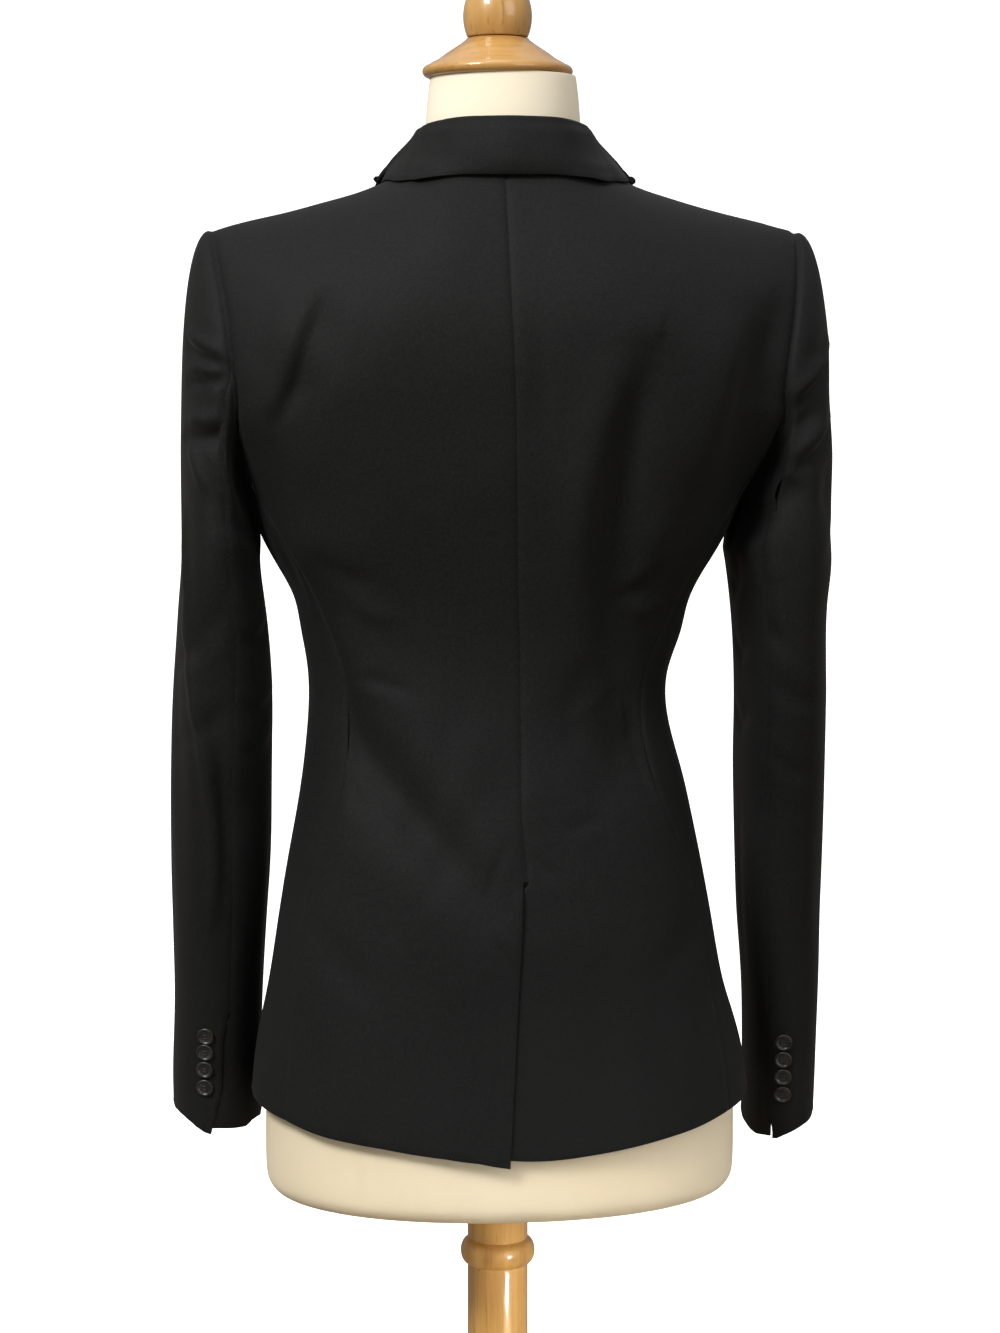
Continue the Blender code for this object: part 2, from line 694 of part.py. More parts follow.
def armhole(turn, sign):
    """The armhole seam: turn is 0 at the shoulder, a quarter at the back."""
    turn = (turn + math.pi) % (2 * math.pi) - math.pi
    face = "back" if turn >= 0 else "front"
    size = abs(turn)
    if size <= ARMHOLE_JOIN_TURN:
        k = size / ARMHOLE_JOIN_TURN
        drop = ARMHOLE_TOP_Z - ARMHOLE_SIDE_Z
        z = ARMHOLE_SIDE_Z + drop * math.cos(k * math.pi / 2)
        return body_point(smooth(ARMHOLE_SEAM, "x", z), z, face, sign)
    half = math.pi - ARMHOLE_JOIN_TURN
    s = 0.5 * (size - ARMHOLE_JOIN_TURN) / half
    if face == "front":
        s = 1 - s
    return side_place(s, side_top(s), sign)[0]


def sleeve_section(turn, z, side, sign):
    out = smooth(SLEEVE, side + "_out", z)
    inside = smooth(SLEEVE, side + "_in", z)
    depth = smooth(SLEEVE, "half_depth", z)
    middle = (out + inside) / 2
    half = (out - inside) / 2
    power = 2 / 2.25
    c, s = math.cos(turn), math.sin(turn)
    x = middle + half * math.copysign(abs(c) ** power, c)
    y = smooth(SLEEVE, "y", z) + depth * math.copysign(abs(s) ** power, s)
    return np.array([sign * x, y, z])


def cuff_z(turn, side):
    """Height of the cuff's edge round the sleeve."""
    return SLEEVE_CUFF_Z[side] + CUFF_TILT[side] * math.cos(turn) - CUFF_DIP * math.sin(turn)


def sleeve_point(turn, t, side, sign):
    """Outer face of a sleeve: t is 0 at the armhole and 1 at the cuff."""
    head = SLEEVE_HEAD_SHARE
    if t <= head:
        k = t / head
        start = armhole(turn, sign)
        end = sleeve_section(turn, SLEEVE_BICEPS_Z, side, sign)
        top = 0.5 + 0.5 * math.cos(turn)
        reach = 0.009 + 0.016 * top
        drop = 0.010 * (1 - top)
        lift = SLEEVE_HEAD_ROPE * top**2
        first = start + np.array([sign * reach, 0, lift - drop])
        rise = 0.012 + 0.085 * top
        last = end + np.array([0, 0, rise])
        a, b = 1 - k, k
        return a**3 * start + 3 * a * a * b * first + 3 * a * b * b * last + b**3 * end
    length = SLEEVE_BICEPS_Z - cuff_z(turn, side)
    z = SLEEVE_BICEPS_Z - length * (t - head) / (1 - head)
    return sleeve_section(turn, z, side, sign)


def sleeve_place(turn, t, side, sign):
    """Point and outward normal of a sleeve, with its creases."""
    step = 0.02
    t0, t1 = max(t - 0.006, 0.0), min(t + 0.006, 1.0)
    across = sleeve_point(turn + step, t, side, sign) - sleeve_point(turn - step, t, side, sign)
    along = sleeve_point(turn, t1, side, sign) - sleeve_point(turn, t0, side, sign)
    normal = unit(np.cross(along, across)) * sign
    lift = 0.0
    for crease in SLEEVE_CREASES:
        if crease.side != side:
            continue
        turned_by = (math.degrees(turn) - crease.turn + 180) % 360 - 180
        slant = 0.00035 * turned_by
        up = (t - crease.t + slant) / (crease.height * 1.4)
        lift += crease.depth * math.exp(-(up**2) - (turned_by / crease.reach) ** 2)
    return sleeve_point(turn, t, side, sign) + normal * lift, normal


def sleeve_piece(name, first, last, columns, side, sign):
    """One of a sleeve's two pieces, between two turns."""
    rows = 24
    gap = SEAM / 0.045
    outer, normals = [], []
    for i in range(rows):
        t = 0.008 + 0.992 * (i / (rows - 1)) ** 1.15
        line, line_normals = [], []
        for j in range(columns):
            turn = first + gap + (last - first - 2 * gap) * j / (columns - 1)
            point, normal = sleeve_place(turn, t, side, sign)
            line.append(point)
            line_normals.append(normal)
        outer.append(line)
        normals.append(line_normals)
    wall_piece(name, outer, normals, WOOL, mirrored=sign > 0)


def sleeve(side, sign):
    hind = HIND_SEAM[side]
    sleeve_piece("upper_sleeve_" + side, FRONT_SLEEVE_SEAM, hind, UPPER_COLUMNS, side, sign)
    sleeve_piece("under_sleeve_" + side, hind, FRONT_SLEEVE_SEAM + 2 * math.pi, 8, side, sign)


# ---------------------------------------------------------------- buttons


def button(name, radius, point, normal, seat):
    """A round button with a raised rim, standing on the cloth along its normal."""
    thick = radius * 0.36
    profile = [
        (0.0, thick * 0.62),
        (radius * 0.62, thick * 0.62),
        (radius * 0.80, thick),
        (radius, thick * 0.60),
        (radius * 0.92, 0.0),
        (0.0, 0.0),
    ]
    obj = turned(name, profile, 12, HORN)
    obj.location = point + normal * seat
    tilt = math.acos(max(min(normal[2], 1.0), -1.0))
    obj.rotation_euler = (0, tilt, math.atan2(normal[1], normal[0]))


def cuff_buttons(side, sign):
    strip = (HIND_SEAM[side] - FRONT_SLEEVE_SEAM) / (UPPER_COLUMNS - 1)
    turn = HIND_SEAM[side] - 1.5 * strip
    length = SLEEVE_BICEPS_Z - cuff_z(turn, side)
    for number in range(4):
        z = CUFF_BUTTON_TOP_Z[side] - number * CUFF_BUTTON_PITCH
        t = SLEEVE_HEAD_SHARE + (1 - SLEEVE_HEAD_SHARE) * (SLEEVE_BICEPS_Z - z) / length
        point, normal = sleeve_place(turn, t, side, sign)
        name = "cuff_button_" + side + "_" + str(number + 1)
        button(name, CUFF_BUTTON_RADIUS, point, normal, CUFF_BUTTON_SEAT)


def front_button():
    point, normal = body_frame(0.0, BUTTON_Z, "front", -1)
    point = point + normal * (LAP + 0.0008)
    button("front_button", FRONT_BUTTON_RADIUS, point, normal, SEAM)


# ---------------------------------------------------------------- form and stand


def form_ring(ring, columns):
    """One ring of the form, kept inside the cloth that rests on it."""
    keep = WALL + FORM_CLEARANCE
    z = ring.z
    worn = z > 0.800
    half = ring.half_width
    if worn and z < BACK_NECK_Z:
        reach = [x for x in np.linspace(0.05, SHOULDER_END_X, 144) if shoulder_z(x) >= z + keep]
        half = min(half, max(reach)) if reach else half
    middle = NECK_SHIFT * ease((z - 0.944) / 0.012)
    if worn and z < 0.956:
        middle += shift(z) * ease((0.956 - z) / 0.012)
    points = []
    for j in range(columns):
        turn = 2 * math.pi * j / columns
        c, s = math.cos(turn), math.sin(turn)
        power = 2 / ring.squareness
        x = half * math.copysign(abs(c) ** power, c)
        face = "back" if s >= 0 else "front"
        depth = getattr(ring, face) * abs(s) ** power
        if worn and z + keep < shoulder_z(abs(x)):
            depth = min(depth, body_depth(x, z + keep, face) - keep)
        depth = max(depth, 0.0)
        points.append((middle + x, depth if s >= 0 else -depth, z))
    return points


def form_torso():
    columns = 32
    bm = bmesh.new()
    heights = sorted({ring.z for ring in FORM})
    rings = []
    for low, high in zip(heights, heights[1:]):
        rings.append(low)
        if high - low > 0.045:
            rings.append((low + high) / 2)
    rings.append(heights[-1])
    loops = []
    for z in rings:
        values = [smooth(FORM, column, z) for column in ("half_width", "back", "front", "squareness")]
        loops.append([bm.verts.new(p) for p in form_ring(Ring(z, *values), columns)])
    for low, high in zip(loops, loops[1:]):
        for j in range(columns):
            k = (j + 1) % columns
            bm.faces.new((low[j], low[k], high[k], high[j]))
    bm.faces.new(loops[0][::-1])
    bm.faces.new(loops[-1])
    mesh = bpy.data.meshes.new("form_torso")
    bm.to_mesh(mesh)
    bm.free()
    shade(mesh)
    linked("form_torso", mesh, LINEN)


def arc(centre_r, centre_z, radius_r, radius_z, start, end, count):
    """Points of an elliptic arc in a turned profile, in degrees from the outside."""
    points = []
    for i in range(count + 1):
        angle = math.radians(start + (end - start) * i / count)
        points.append((centre_r + radius_r * math.cos(angle), centre_z + radius_z * math.sin(angle)))
    return points


def stand():
    top = FORM_NECK_TOP_Z + SEAM
    cap = [(0.0, top + 0.0262), (0.0195, top + 0.0262), (0.0225, top + 0.0235)]
    cap += [(0.0335, top + 0.0155), (0.0450, top + 0.0086)]
    cap += arc(0.0450, top + 0.0042, 0.0048, 0.0042, 60, -90, 5) + [(0.0, top)]
    turned("neck_cap", cap, 24, OAK)
    ball_z = top + 0.0262 + SEAM
    ball = [(0.0, ball_z + 0.0415)] + arc(0.0, ball_z + 0.0195, 0.0227, 0.0220, 78, -40, 9)
    ball += [(0.0165, ball_z + 0.0030), (0.0170, ball_z), (0.0, ball_z)]
    turned("finial", ball, 24, OAK)
    foot = 0.0260
    high = FORM_BOTTOM_Z - SEAM
    ring = arc(0.0205, 0.2205, 0.0050, 0.0085, 70, -70, 6)
    pole = [(0.0, high), (0.0203, high), (0.0203, 0.2290)] + ring
    pole += [(0.0203, 0.2120), (0.0203, foot + SEAM), (0.0, foot + SEAM)]
    turned("pole", pole, 24, OAK)
    base = [(0.0, foot), (0.030, foot), (0.036, 0.0225), (0.120, 0.0190)]
    base += arc(0.135, 0.0095, 0.0100, 0.0095, 70, -90, 6) + [(0.0, 0.0)]
    turned("base", base, 32, OAK)


# ---------------------------------------------------------------- assembly

for old in list(bpy.data.objects):
    bpy.data.objects.remove(old, do_unlink=True)

parts = bpy.data.collections.new("blazer_on_dress_form")
bpy.context.scene.collection.children.link(parts)

WOOL = finish("black_wool", (0.017, 0.017, 0.018), 0.75)
HORN = finish("dark_button", (0.030, 0.030, 0.032), 0.35)
LINEN = finish("cream_cover", (0.83, 0.76, 0.60), 0.80)
OAK = finish("golden_wood", (0.56, 0.31, 0.10), 0.30)

for side_name, side_sign in (("left", 1), ("right", -1)):
    back_panel(side_name, side_sign)
    side_panel(side_name, side_sign)
    front_panel(side_name, side_sign)
    lapel(side_name, side_sign)
    sleeve(side_name, side_sign)
    cuff_buttons(side_name, side_sign)
collar()
front_button()
form_torso()
stand()
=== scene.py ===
"""A single breasted blazer on a limbless dress form: its cloth, seams, folds and studio.

Metres, +Z up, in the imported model's frame.  The garment's front faces -Y, its wearer's
left is +X and the origin is the middle of the stand's base.
"""

import logging
import math
from collections.abc import Callable, Iterator
from contextlib import contextmanager
from dataclasses import dataclass
from enum import Enum

import bpy
import numpy as np
from mathutils import Matrix, Vector
from mathutils.bvhtree import BVHTree


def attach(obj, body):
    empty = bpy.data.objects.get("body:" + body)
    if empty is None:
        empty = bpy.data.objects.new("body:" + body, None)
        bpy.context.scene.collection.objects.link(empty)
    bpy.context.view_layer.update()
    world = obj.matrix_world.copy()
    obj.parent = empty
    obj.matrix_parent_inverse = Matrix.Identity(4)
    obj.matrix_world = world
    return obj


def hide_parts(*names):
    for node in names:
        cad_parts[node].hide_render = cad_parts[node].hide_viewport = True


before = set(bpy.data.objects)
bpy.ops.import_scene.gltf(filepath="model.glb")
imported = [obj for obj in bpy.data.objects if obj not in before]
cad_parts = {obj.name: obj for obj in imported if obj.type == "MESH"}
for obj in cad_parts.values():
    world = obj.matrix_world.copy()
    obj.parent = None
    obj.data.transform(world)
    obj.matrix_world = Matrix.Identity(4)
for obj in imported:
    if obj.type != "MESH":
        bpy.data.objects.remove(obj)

LOG = logging.getLogger("blazer")
WALL = 0.0016  # the solids' cloth thickness
SAME = 1e-6  # points closer than this are one point
UP = np.array([0.0, 0.0, 1.0])
SLEEVE_RADIUS = 0.045  # what degrees round a sleeve are turned into metres with

Points = np.ndarray
Rule = Callable[[Points], Points]


class Side(Enum):
    """The wearer's sides, with the sign of X there."""

    LEFT = ("left", 1.0)
    RIGHT = ("right", -1.0)

    @property
    def word(self) -> str:
        """The side's name, as nodes end in it."""
        return self.value[0]

    @property
    def sign(self) -> float:
        """1 on the wearer's left, -1 on the right."""
        return self.value[1]


# ---------------------------------------------------------------- modelling helpers


def only(*objects: bpy.types.Object) -> None:
    """Selects these objects alone and makes the first one active.

    Args:
        objects: The objects to select.
    """
    if bpy.context.mode != "OBJECT":
        bpy.ops.object.mode_set(mode="OBJECT")
    bpy.ops.object.select_all(action="DESELECT")
    for obj in objects:
        obj.select_set(True)
    bpy.context.view_layer.objects.active = objects[0]


@contextmanager
def editing(obj: bpy.types.Object) -> Iterator[bpy.types.Object]:
    """Edit mode on one object, with nothing in it selected at the start.

    Args:
        obj: The mesh object to edit.

    Returns:
        The object, while edit mode lasts.
    """
    only(obj)
    bpy.ops.object.mode_set(mode="EDIT")
    bpy.ops.mesh.select_mode(type="VERT")
    bpy.ops.mesh.select_all(action="DESELECT")
    yield obj
    bpy.ops.object.mode_set(mode="OBJECT")


def read(items: bpy.types.bpy_prop_collection, key: str, width: int, kind: type = np.float32) -> Points:
    """Reads one property of every item of a mesh.

    Args:
        items: Its vertices, normals, edges or loops.
        key: The property's name.
        width: How many numbers each item has.
        kind: The numbers' type.

    Returns:
        A row for each item.
    """
    flat = np.empty(len(items) * width, kind)
    items.foreach_get(key, flat)
    return flat.reshape(-1, width)


def points_of(obj: bpy.types.Object) -> Points:
    """The vertices of a mesh object as rows of x, y, z."""
    return read(obj.data.vertices, "co", 3).astype(float)


def put_points(obj: bpy.types.Object, points: Points) -> None:
    """Writes vertex places back to a mesh object."""
    obj.data.vertices.foreach_set("co", points.astype(np.float32).ravel())
    obj.data.update()


def normals_of(obj: bpy.types.Object) -> Points:
    """The vertex normals of a mesh object."""
    return read(obj.data.vertex_normals, "vector", 3).astype(float)


def edges_of(obj: bpy.types.Object) -> Points:
    """The vertex pairs of a mesh object's edges."""
    return read(obj.data.edges, "vertices", 2, np.int32)


def border_edges(obj: bpy.types.Object) -> Points:
    """The vertex pairs of the edges that only one face has."""
    count = np.bincount(read(obj.data.loops, "edge_index", 1, np.int32).ravel(), minlength=len(obj.data.edges))
    return edges_of(obj)[count == 1]


def pick_vertices(obj: bpy.types.Object, rule: Rule) -> None:
    """Selects, from object mode, the vertices that a rule chooses.

    Args:
        obj: The mesh object.
        rule: Takes the vertex places and returns True for each one chosen.
    """
    pick(obj, np.asarray(rule(points_of(obj)), bool))


def pick(obj: bpy.types.Object, chosen: Points) -> None:
    """Selects some vertices, and the edges and faces between them.

    Args:
        obj: The mesh object, in object mode.
        chosen: True for each vertex to select.
    """
    mesh = obj.data
    mesh.vertices.foreach_set("select", chosen)
    mesh.edges.foreach_set("select", chosen[edges_of(obj)].all(axis=1))
    mesh.polygons.foreach_set("select", [all(chosen[i] for i in p.vertices) for p in mesh.polygons])


def own_copy(node: str, name: str) -> bpy.types.Object:
    """A copy of a CAD node with a mesh of its own, its loose triangles merged.

    Args:
        node: The CAD node to copy.
        name: The new piece's name.

    Returns:
        The new mesh object, at the origin.
    """
    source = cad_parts[node]
    obj = source.copy()
    obj.data = source.data.copy()
    obj.name = obj.data.name = name
    for key in [key for key in obj.keys() if key.startswith("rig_")]:
        del obj[key]
    obj.parent = None
    obj.matrix_world = Matrix.Identity(4)
    bpy.context.scene.collection.objects.link(obj)
    only(obj)
    bpy.ops.mesh.customdata_custom_splitnormals_clear()
    with editing(obj):
        bpy.ops.mesh.select_all(action="SELECT")
        bpy.ops.mesh.remove_doubles(threshold=SAME)
    return obj


def to_quads(obj: bpy.types.Object, influence: float = 2.0) -> None:
    """Joins a mesh's triangles to quads, along the rows and columns of its cloth.

    Args:
        obj: The mesh object.
        influence: How strongly a regular net is sought.
    """
    with editing(obj):
        bpy.ops.mesh.select_all(action="SELECT")
        bpy.ops.mesh.tris_convert_to_quads(
            face_threshold=math.pi, shape_threshold=math.pi, topology_influence=influence
        )


def add_modifier(obj: bpy.types.Object, kind: str, **settings: object) -> None:
    """Adds a modifier and applies it.

    Args:
        obj: The object it goes on.
        kind: Blender's name of the modifier's type.
        settings: Its settings by name.
    """
    only(obj)
    modifier = obj.modifiers.new(kind.title(), kind)
    for name, value in settings.items():
        setattr(modifier, name, value)
    bpy.ops.object.modifier_apply(modifier=modifier.name)


def refine(obj: bpy.types.Object, levels: int, rounds: int = 5) -> None:
    """Subdivides a net so that the smooth surface still passes through its points.

    Args:
        obj: The mesh object.
        levels: How many times each face is halved.
        rounds: How many times the net is corrected first.
    """
    goal = points_of(obj)
    modifier = obj.modifiers.new("Refine", "SUBSURF")
    modifier.levels = modifier.render_levels = levels
    modifier.boundary_smooth = "PRESERVE_CORNERS"
    for _ in range(rounds):
        graph = bpy.context.evaluated_depsgraph_get()
        shown = obj.evaluated_get(graph)
        put_points(obj, points_of(obj) + goal - read(shown.data.vertices, "co", 3)[: len(goal)])
    only(obj)
    bpy.ops.object.modifier_apply(modifier=modifier.name)


def dress(obj: bpy.types.Object, node: str, angle: float) -> None:
    """Puts a finished piece in its solid's place, on the part's one body, and reports it.

    Args:
        obj: The piece.
        node: The CAD node that it replaces.
        angle: Edges sharper than this, in degrees, are shaded sharp.
    """
    only(obj)
    bpy.ops.object.shade_smooth_by_angle(angle=math.radians(angle))
    bpy.ops.object.transform_apply(location=True, rotation=True, scale=True)
    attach(obj, "root")
    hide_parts(node)
    LOG.info("%s: %d faces in place of %s", obj.name, len(obj.data.polygons), node)


def coat(obj: bpy.types.Object, *materials: bpy.types.Material) -> None:
    """Gives an object these materials and no others.

    Args:
        obj: The object.
        materials: Its materials, in the order of its slots.
    """
    obj.data.materials.clear()
    for material in materials:
        obj.data.materials.append(material)


def near_lines(points: Points, segments: Points, reach: float) -> Points:
    """Distances from points to the nearest of some line segments.

    Args:
        points: Rows of x, y, z.
        segments: The segments' ends, shaped (count, 2, 3).
        reach: Distances over this are given as it, which saves time.

    Returns:
        One distance for each point.
    """
    least = np.full(len(points), reach)
    for start, end in segments:
        low = np.minimum(start, end) - reach
        high = np.maximum(start, end) + reach
        close = np.flatnonzero(((points >= low) & (points <= high)).all(axis=1))
        run = end - start
        away = points[close] - start
        along = np.clip(away @ run / max(run @ run, SAME**2), 0.0, 1.0)
        gap = np.linalg.norm(away - along[:, None] * run, axis=1)
        least[close] = np.minimum(least[close], gap)
    return least


def ways_out(pairs: Points, points: Points, rim: Points, border: Points) -> Points:
    """The ways out of a net at its rim.

    Args:
        pairs: The net's edges.
        points: Its vertices.
        rim: Which of them get a way out.
        border: Which are on the border, and so don't count as neighbours within.

    Returns:
        The sum, for each vertex, of the ways to it from its neighbours within.
    """
    ways = np.zeros_like(points)
    for here, there in ((0, 1), (1, 0)):
        use = rim[pairs[:, here]] & ~border[pairs[:, there]]
        np.add.at(ways, pairs[use, here], points[pairs[use, here]] - points[pairs[use, there]])
    return ways


def hump(away: Points, reach: float) -> Points:
    """1 on a line, falling softly to almost 0 at twice a reach from it."""
    return np.exp(-((away / reach) ** 2))


def soft_step(value: Points) -> Points:
    """A soft step from 0 to 1."""
    value = np.clip(value, 0.0, 1.0)
    return value * value * (3 - 2 * value)


# ---------------------------------------------------------------- finishes


class Shader:
    """A material's node tree, with short calls to add and join its nodes."""

    def __init__(self, name: str) -> None:
        """Starts a material with one Principled shader.

        Args:
            name: The material's name.
        """
        self.material = bpy.data.materials.new(name)
        self.material.use_nodes = True
        self.tree = self.material.node_tree
        self.surface = self.tree.nodes["Principled BSDF"]
        self.place = self.node("ShaderNodeTexCoord").outputs["Object"]

    def node(self, kind: str, **settings: object) -> bpy.types.Node:
        """Adds a node.

        Args:
            kind: The node's type.
            settings: Its properties by name.

        Returns:
            The new node.
        """
        made = self.tree.nodes.new(kind)
        for name, value in settings.items():
            setattr(made, name, value)
        return made

    def put(self, socket: bpy.types.NodeSocket, value: object) -> None:
        """Joins a socket to another, or sets its constant.

        Args:
            socket: The input.
            value: An output to join it to, or a constant.
        """
        if isinstance(value, bpy.types.NodeSocket):
            self.tree.links.new(value, socket)
        else:
            socket.default_value = value

    def stretched(self, scale: tuple[float, float, float], turn: float = 0.0) -> bpy.types.NodeSocket:
        """Object coordinates, scaled and turned about the vertical axis.

        Args:
            scale: How much each axis is scaled.
            turn: The turn, in degrees.

        Returns:
            The mapped coordinates.
        """
        mapping = self.node("ShaderNodeMapping")
        self.put(mapping.inputs["Vector"], self.place)
        mapping.inputs["Scale"].default_value = scale
        mapping.inputs["Rotation"].default_value = (0.0, 0.0, math.radians(turn))
        return mapping.outputs["Vector"]

    def noise(
        self, scale: float, detail: float = 2.0, where: object = None, rough: float = 0.5
    ) -> bpy.types.NodeSocket:
        """A noise of values about 0.5.

        Args:
            scale: Its scale; about 1 over the size of a blotch.
            detail: Its octaves.
            where: The coordinates, or the object's own.
            rough: How strong its finer octaves are.

        Returns:
            The noise's value.
        """
        made = self.node("ShaderNodeTexNoise")
        self.put(made.inputs["Vector"], self.place if where is None else where)
        made.inputs["Scale"].default_value = scale
        made.inputs["Detail"].default_value = detail
        made.inputs["Roughness"].default_value = rough
        return made.outputs["Fac"]

    def ramp(self, value: bpy.types.NodeSocket, stops: list[tuple[float, tuple]]) -> bpy.types.NodeSocket:
        """A colour for each value.

        Args:
            value: What is looked up.
            stops: Places from 0 to 1, each with a red, green and blue.

        Returns:
            The colour.
        """
        made = self.node("ShaderNodeValToRGB")
        bar = made.color_ramp.elements
        while len(bar) < len(stops):
            bar.new(0.5)
        for element, (at, colour) in zip(bar, stops):
            element.position = at
            element.color = (*colour, 1.0)
        self.put(made.inputs["Fac"], value)
        return made.outputs["Color"]

    def between(
        self, value: bpy.types.NodeSocket, low: float, high: float, start: float, end: float
    ) -> bpy.types.NodeSocket:
        """Maps one range of a value to another, held at both ends.

        Args:
            value: What is mapped.
            low: Where its range begins.
            high: Where it ends.
            start: What low becomes.
            end: What high becomes.

        Returns:
            The mapped value.
        """
        made = self.node("ShaderNodeMapRange", clamp=True)
        self.put(made.inputs["Value"], value)
        for socket, number in zip(("From Min", "From Max", "To Min", "To Max"), (low, high, start, end)):
            made.inputs[socket].default_value = number
        return made.outputs["Result"]

    def add(self, first: object, second: object) -> bpy.types.NodeSocket:
        """The sum of two values.

        Args:
            first: A value or number.
            second: Another.

        Returns:
            The sum.
        """
        made = self.node("ShaderNodeMath", operation="ADD")
        for socket, value in zip(made.inputs, (first, second)):
            self.put(socket, value)
        return made.outputs["Value"]

    def mix(self, share: object, first: object, second: object, blend: str = "MIX") -> bpy.types.NodeSocket:
        """A colour between two, or one laid over the other.

        Args:
            share: How much of the second shows.
            first: The colour below.
            second: The colour above.
            blend: How they mix.

        Returns:
            The colour.
        """
        made = self.node("ShaderNodeMix", data_type="RGBA", blend_type=blend)
        for socket, value in zip((made.inputs["Factor"], made.inputs[6], made.inputs[7]), (share, first, second)):
            self.put(socket, value)
        return made.outputs[2]

    def height(self, low: float, high: float) -> bpy.types.NodeSocket:
        """Where a place lies between two heights.

        Args:
            low: The lower height, in metres.
            high: The upper one.

        Returns:
            0 below, 1 above.
        """
        made = self.node("ShaderNodeSeparateXYZ")
        self.put(made.inputs["Vector"], self.place)
        return self.between(made.outputs["Z"], low, high, 0.0, 1.0)

    def bump(self, height: bpy.types.NodeSocket, depth: float, strength: float = 1.0) -> None:
        """Gives the surface a relief.

        Args:
            height: The height, from 0 to 1.
            depth: What 1 stands for, in metres.
            strength: How much of it shows.
        """
        made = self.node("ShaderNodeBump")
        made.inputs["Distance"].default_value = depth
        made.inputs["Strength"].default_value = strength
        self.put(made.inputs["Height"], height)
        below = self.surface.inputs["Normal"]
        if below.is_linked:
            self.put(made.inputs["Normal"], below.links[0].from_socket)
        self.put(below, made.outputs["Normal"])

    def paint(self, colour: object, roughness: object, **constants: float) -> None:
        """Sets the shader's inputs.

        Args:
            colour: The base colour.
            roughness: The roughness.
            constants: Numbers by socket name, with _ for each space.
        """
        self.put(self.surface.inputs["Base Color"], colour)
        self.put(self.surface.inputs["Roughness"], roughness)
        for name, value in constants.items():
            self.surface.inputs[name.replace("_", " ")].default_value = value


@dataclass(frozen=True)
class Worsted:
    """Fine black worsted wool in a twill, with a dry sheen and a few pale hairs."""

    name: str = "black_worsted"
    dark: tuple[float, float, float] = (0.0038, 0.0039, 0.0041)
    light: tuple[float, float, float] = (0.0100, 0.0100, 0.0096)
    thread: float = 0.00055  # twill ribs, from one to the next
    sheen: float = 0.02

    def build(self) -> bpy.types.Material:
        """Makes the material.

        Returns:
            The wool.
        """
        shader = Shader(self.name)
        cloud = shader.noise(9.0, 3.0)
        grain = shader.noise(900.0, 2.0, shader.stretched((1.0, 1.0, 0.45)))
        across = shader.noise(1500.0, 1.0, shader.stretched((0.35, 0.35, 1.0)))
        heather = shader.add(*(shader.between(part, 0.0, 1.0, 0.0, 0.5) for part in (grain, across)))
        tone = shader.add(
            shader.between(heather, 0.34, 0.66, 0.0, 0.72), shader.between(cloud, 0.35, 0.65, 0.0, 0.28)
        )
        colour = shader.ramp(tone, [(0.0, self.dark), (1.0, self.light)])
        hairs = shader.noise(900.0, 1.0, shader.stretched((1.0, 1.0, 0.30), 20.0))
        specks = shader.between(hairs, 0.74, 0.79, 0.0, 0.10)
        colour = shader.mix(specks, colour, (0.08, 0.078, 0.074, 1.0))
        shader.paint(
            colour,
            shader.between(cloud, 0.3, 0.7, 0.68, 0.78),
            Sheen_Weight=self.sheen,
            Sheen_Roughness=0.45,
            Specular_IOR_Level=0.12,
        )
        twill = shader.node("ShaderNodeTexWave", wave_type="BANDS", bands_direction="DIAGONAL")
        shader.put(twill.inputs["Vector"], shader.place)
        twill.inputs["Scale"].default_value = 1.0 / (self.thread * 20.0)
        twill.inputs["Distortion"].default_value = 0.6
        shader.bump(twill.outputs["Fac"], 0.00005, 0.35)
        shader.bump(heather, 0.00010, 0.5)
        shader.bump(shader.noise(55.0, 2.0), 0.0006, 0.30)
        return shader.material


@dataclass(frozen=True)
class Lining:
    """Dark viscose satin, seen inside the sleeves and under the hem."""

    name: str = "dark_lining"
    colour: tuple[float, float, float] = (0.012, 0.012, 0.014)

    def build(self) -> bpy.types.Material:
        """Makes the material.

        Returns:
            The lining.
        """
        shader = Shader(self.name)
        streak = shader.noise(700.0, 1.0, shader.stretched((1.0, 1.0, 0.08)))
        lighter = tuple(2.2 * part for part in self.colour)
        colour = shader.ramp(streak, [(0.35, self.colour), (0.70, lighter)])
        shader.paint(colour, shader.between(streak, 0.3, 0.7, 0.34, 0.46), Specular_IOR_Level=0.4)
        shader.bump(streak, 0.00006, 0.5)
        return shader.material


@dataclass(frozen=True)
class ButtonPlastic:
    """Cloudy black polyester, its polish varying at random."""

    name: str = "black_button"
    dark: tuple[float, float, float] = (0.006, 0.006, 0.006)
    light: tuple[float, float, float] = (0.022, 0.021, 0.019)

    def build(self) -> bpy.types.Material:
        """Makes the material.

        Returns:
            The buttons' plastic.
        """
        shader = Shader(self.name)
        cloud = shader.noise(260.0, 3.0, rough=0.6)
        colour = shader.ramp(cloud, [(0.35, self.dark), (0.75, self.light)])
        shader.paint(
            colour,
            shader.between(cloud, 0.3, 0.7, 0.30, 0.44),
            Coat_Weight=0.10,
            Coat_Roughness=0.22,
            Specular_IOR_Level=0.38,
        )
        shader.bump(shader.noise(1400.0, 2.0), 0.00004, 0.4)
        return shader.material


@dataclass(frozen=True)
class SewingThread:
    """Twisted polyester thread."""

    name: str = "black_thread"
    colour: tuple[float, float, float] = (0.013, 0.013, 0.014)

    def build(self) -> bpy.types.Material:
        """Makes the material.

        Returns:
            The thread.
        """
        shader = Shader(self.name)
        twist = shader.noise(3000.0, 1.0)
        lighter = tuple(2.5 * part for part in self.colour)
        colour = shader.ramp(twist, [(0.3, self.colour), (0.7, lighter)])
        shader.paint(colour, shader.between(twist, 0.3, 0.7, 0.50, 0.65))
        shader.bump(twist, 0.00005, 0.6)
        return shader.material


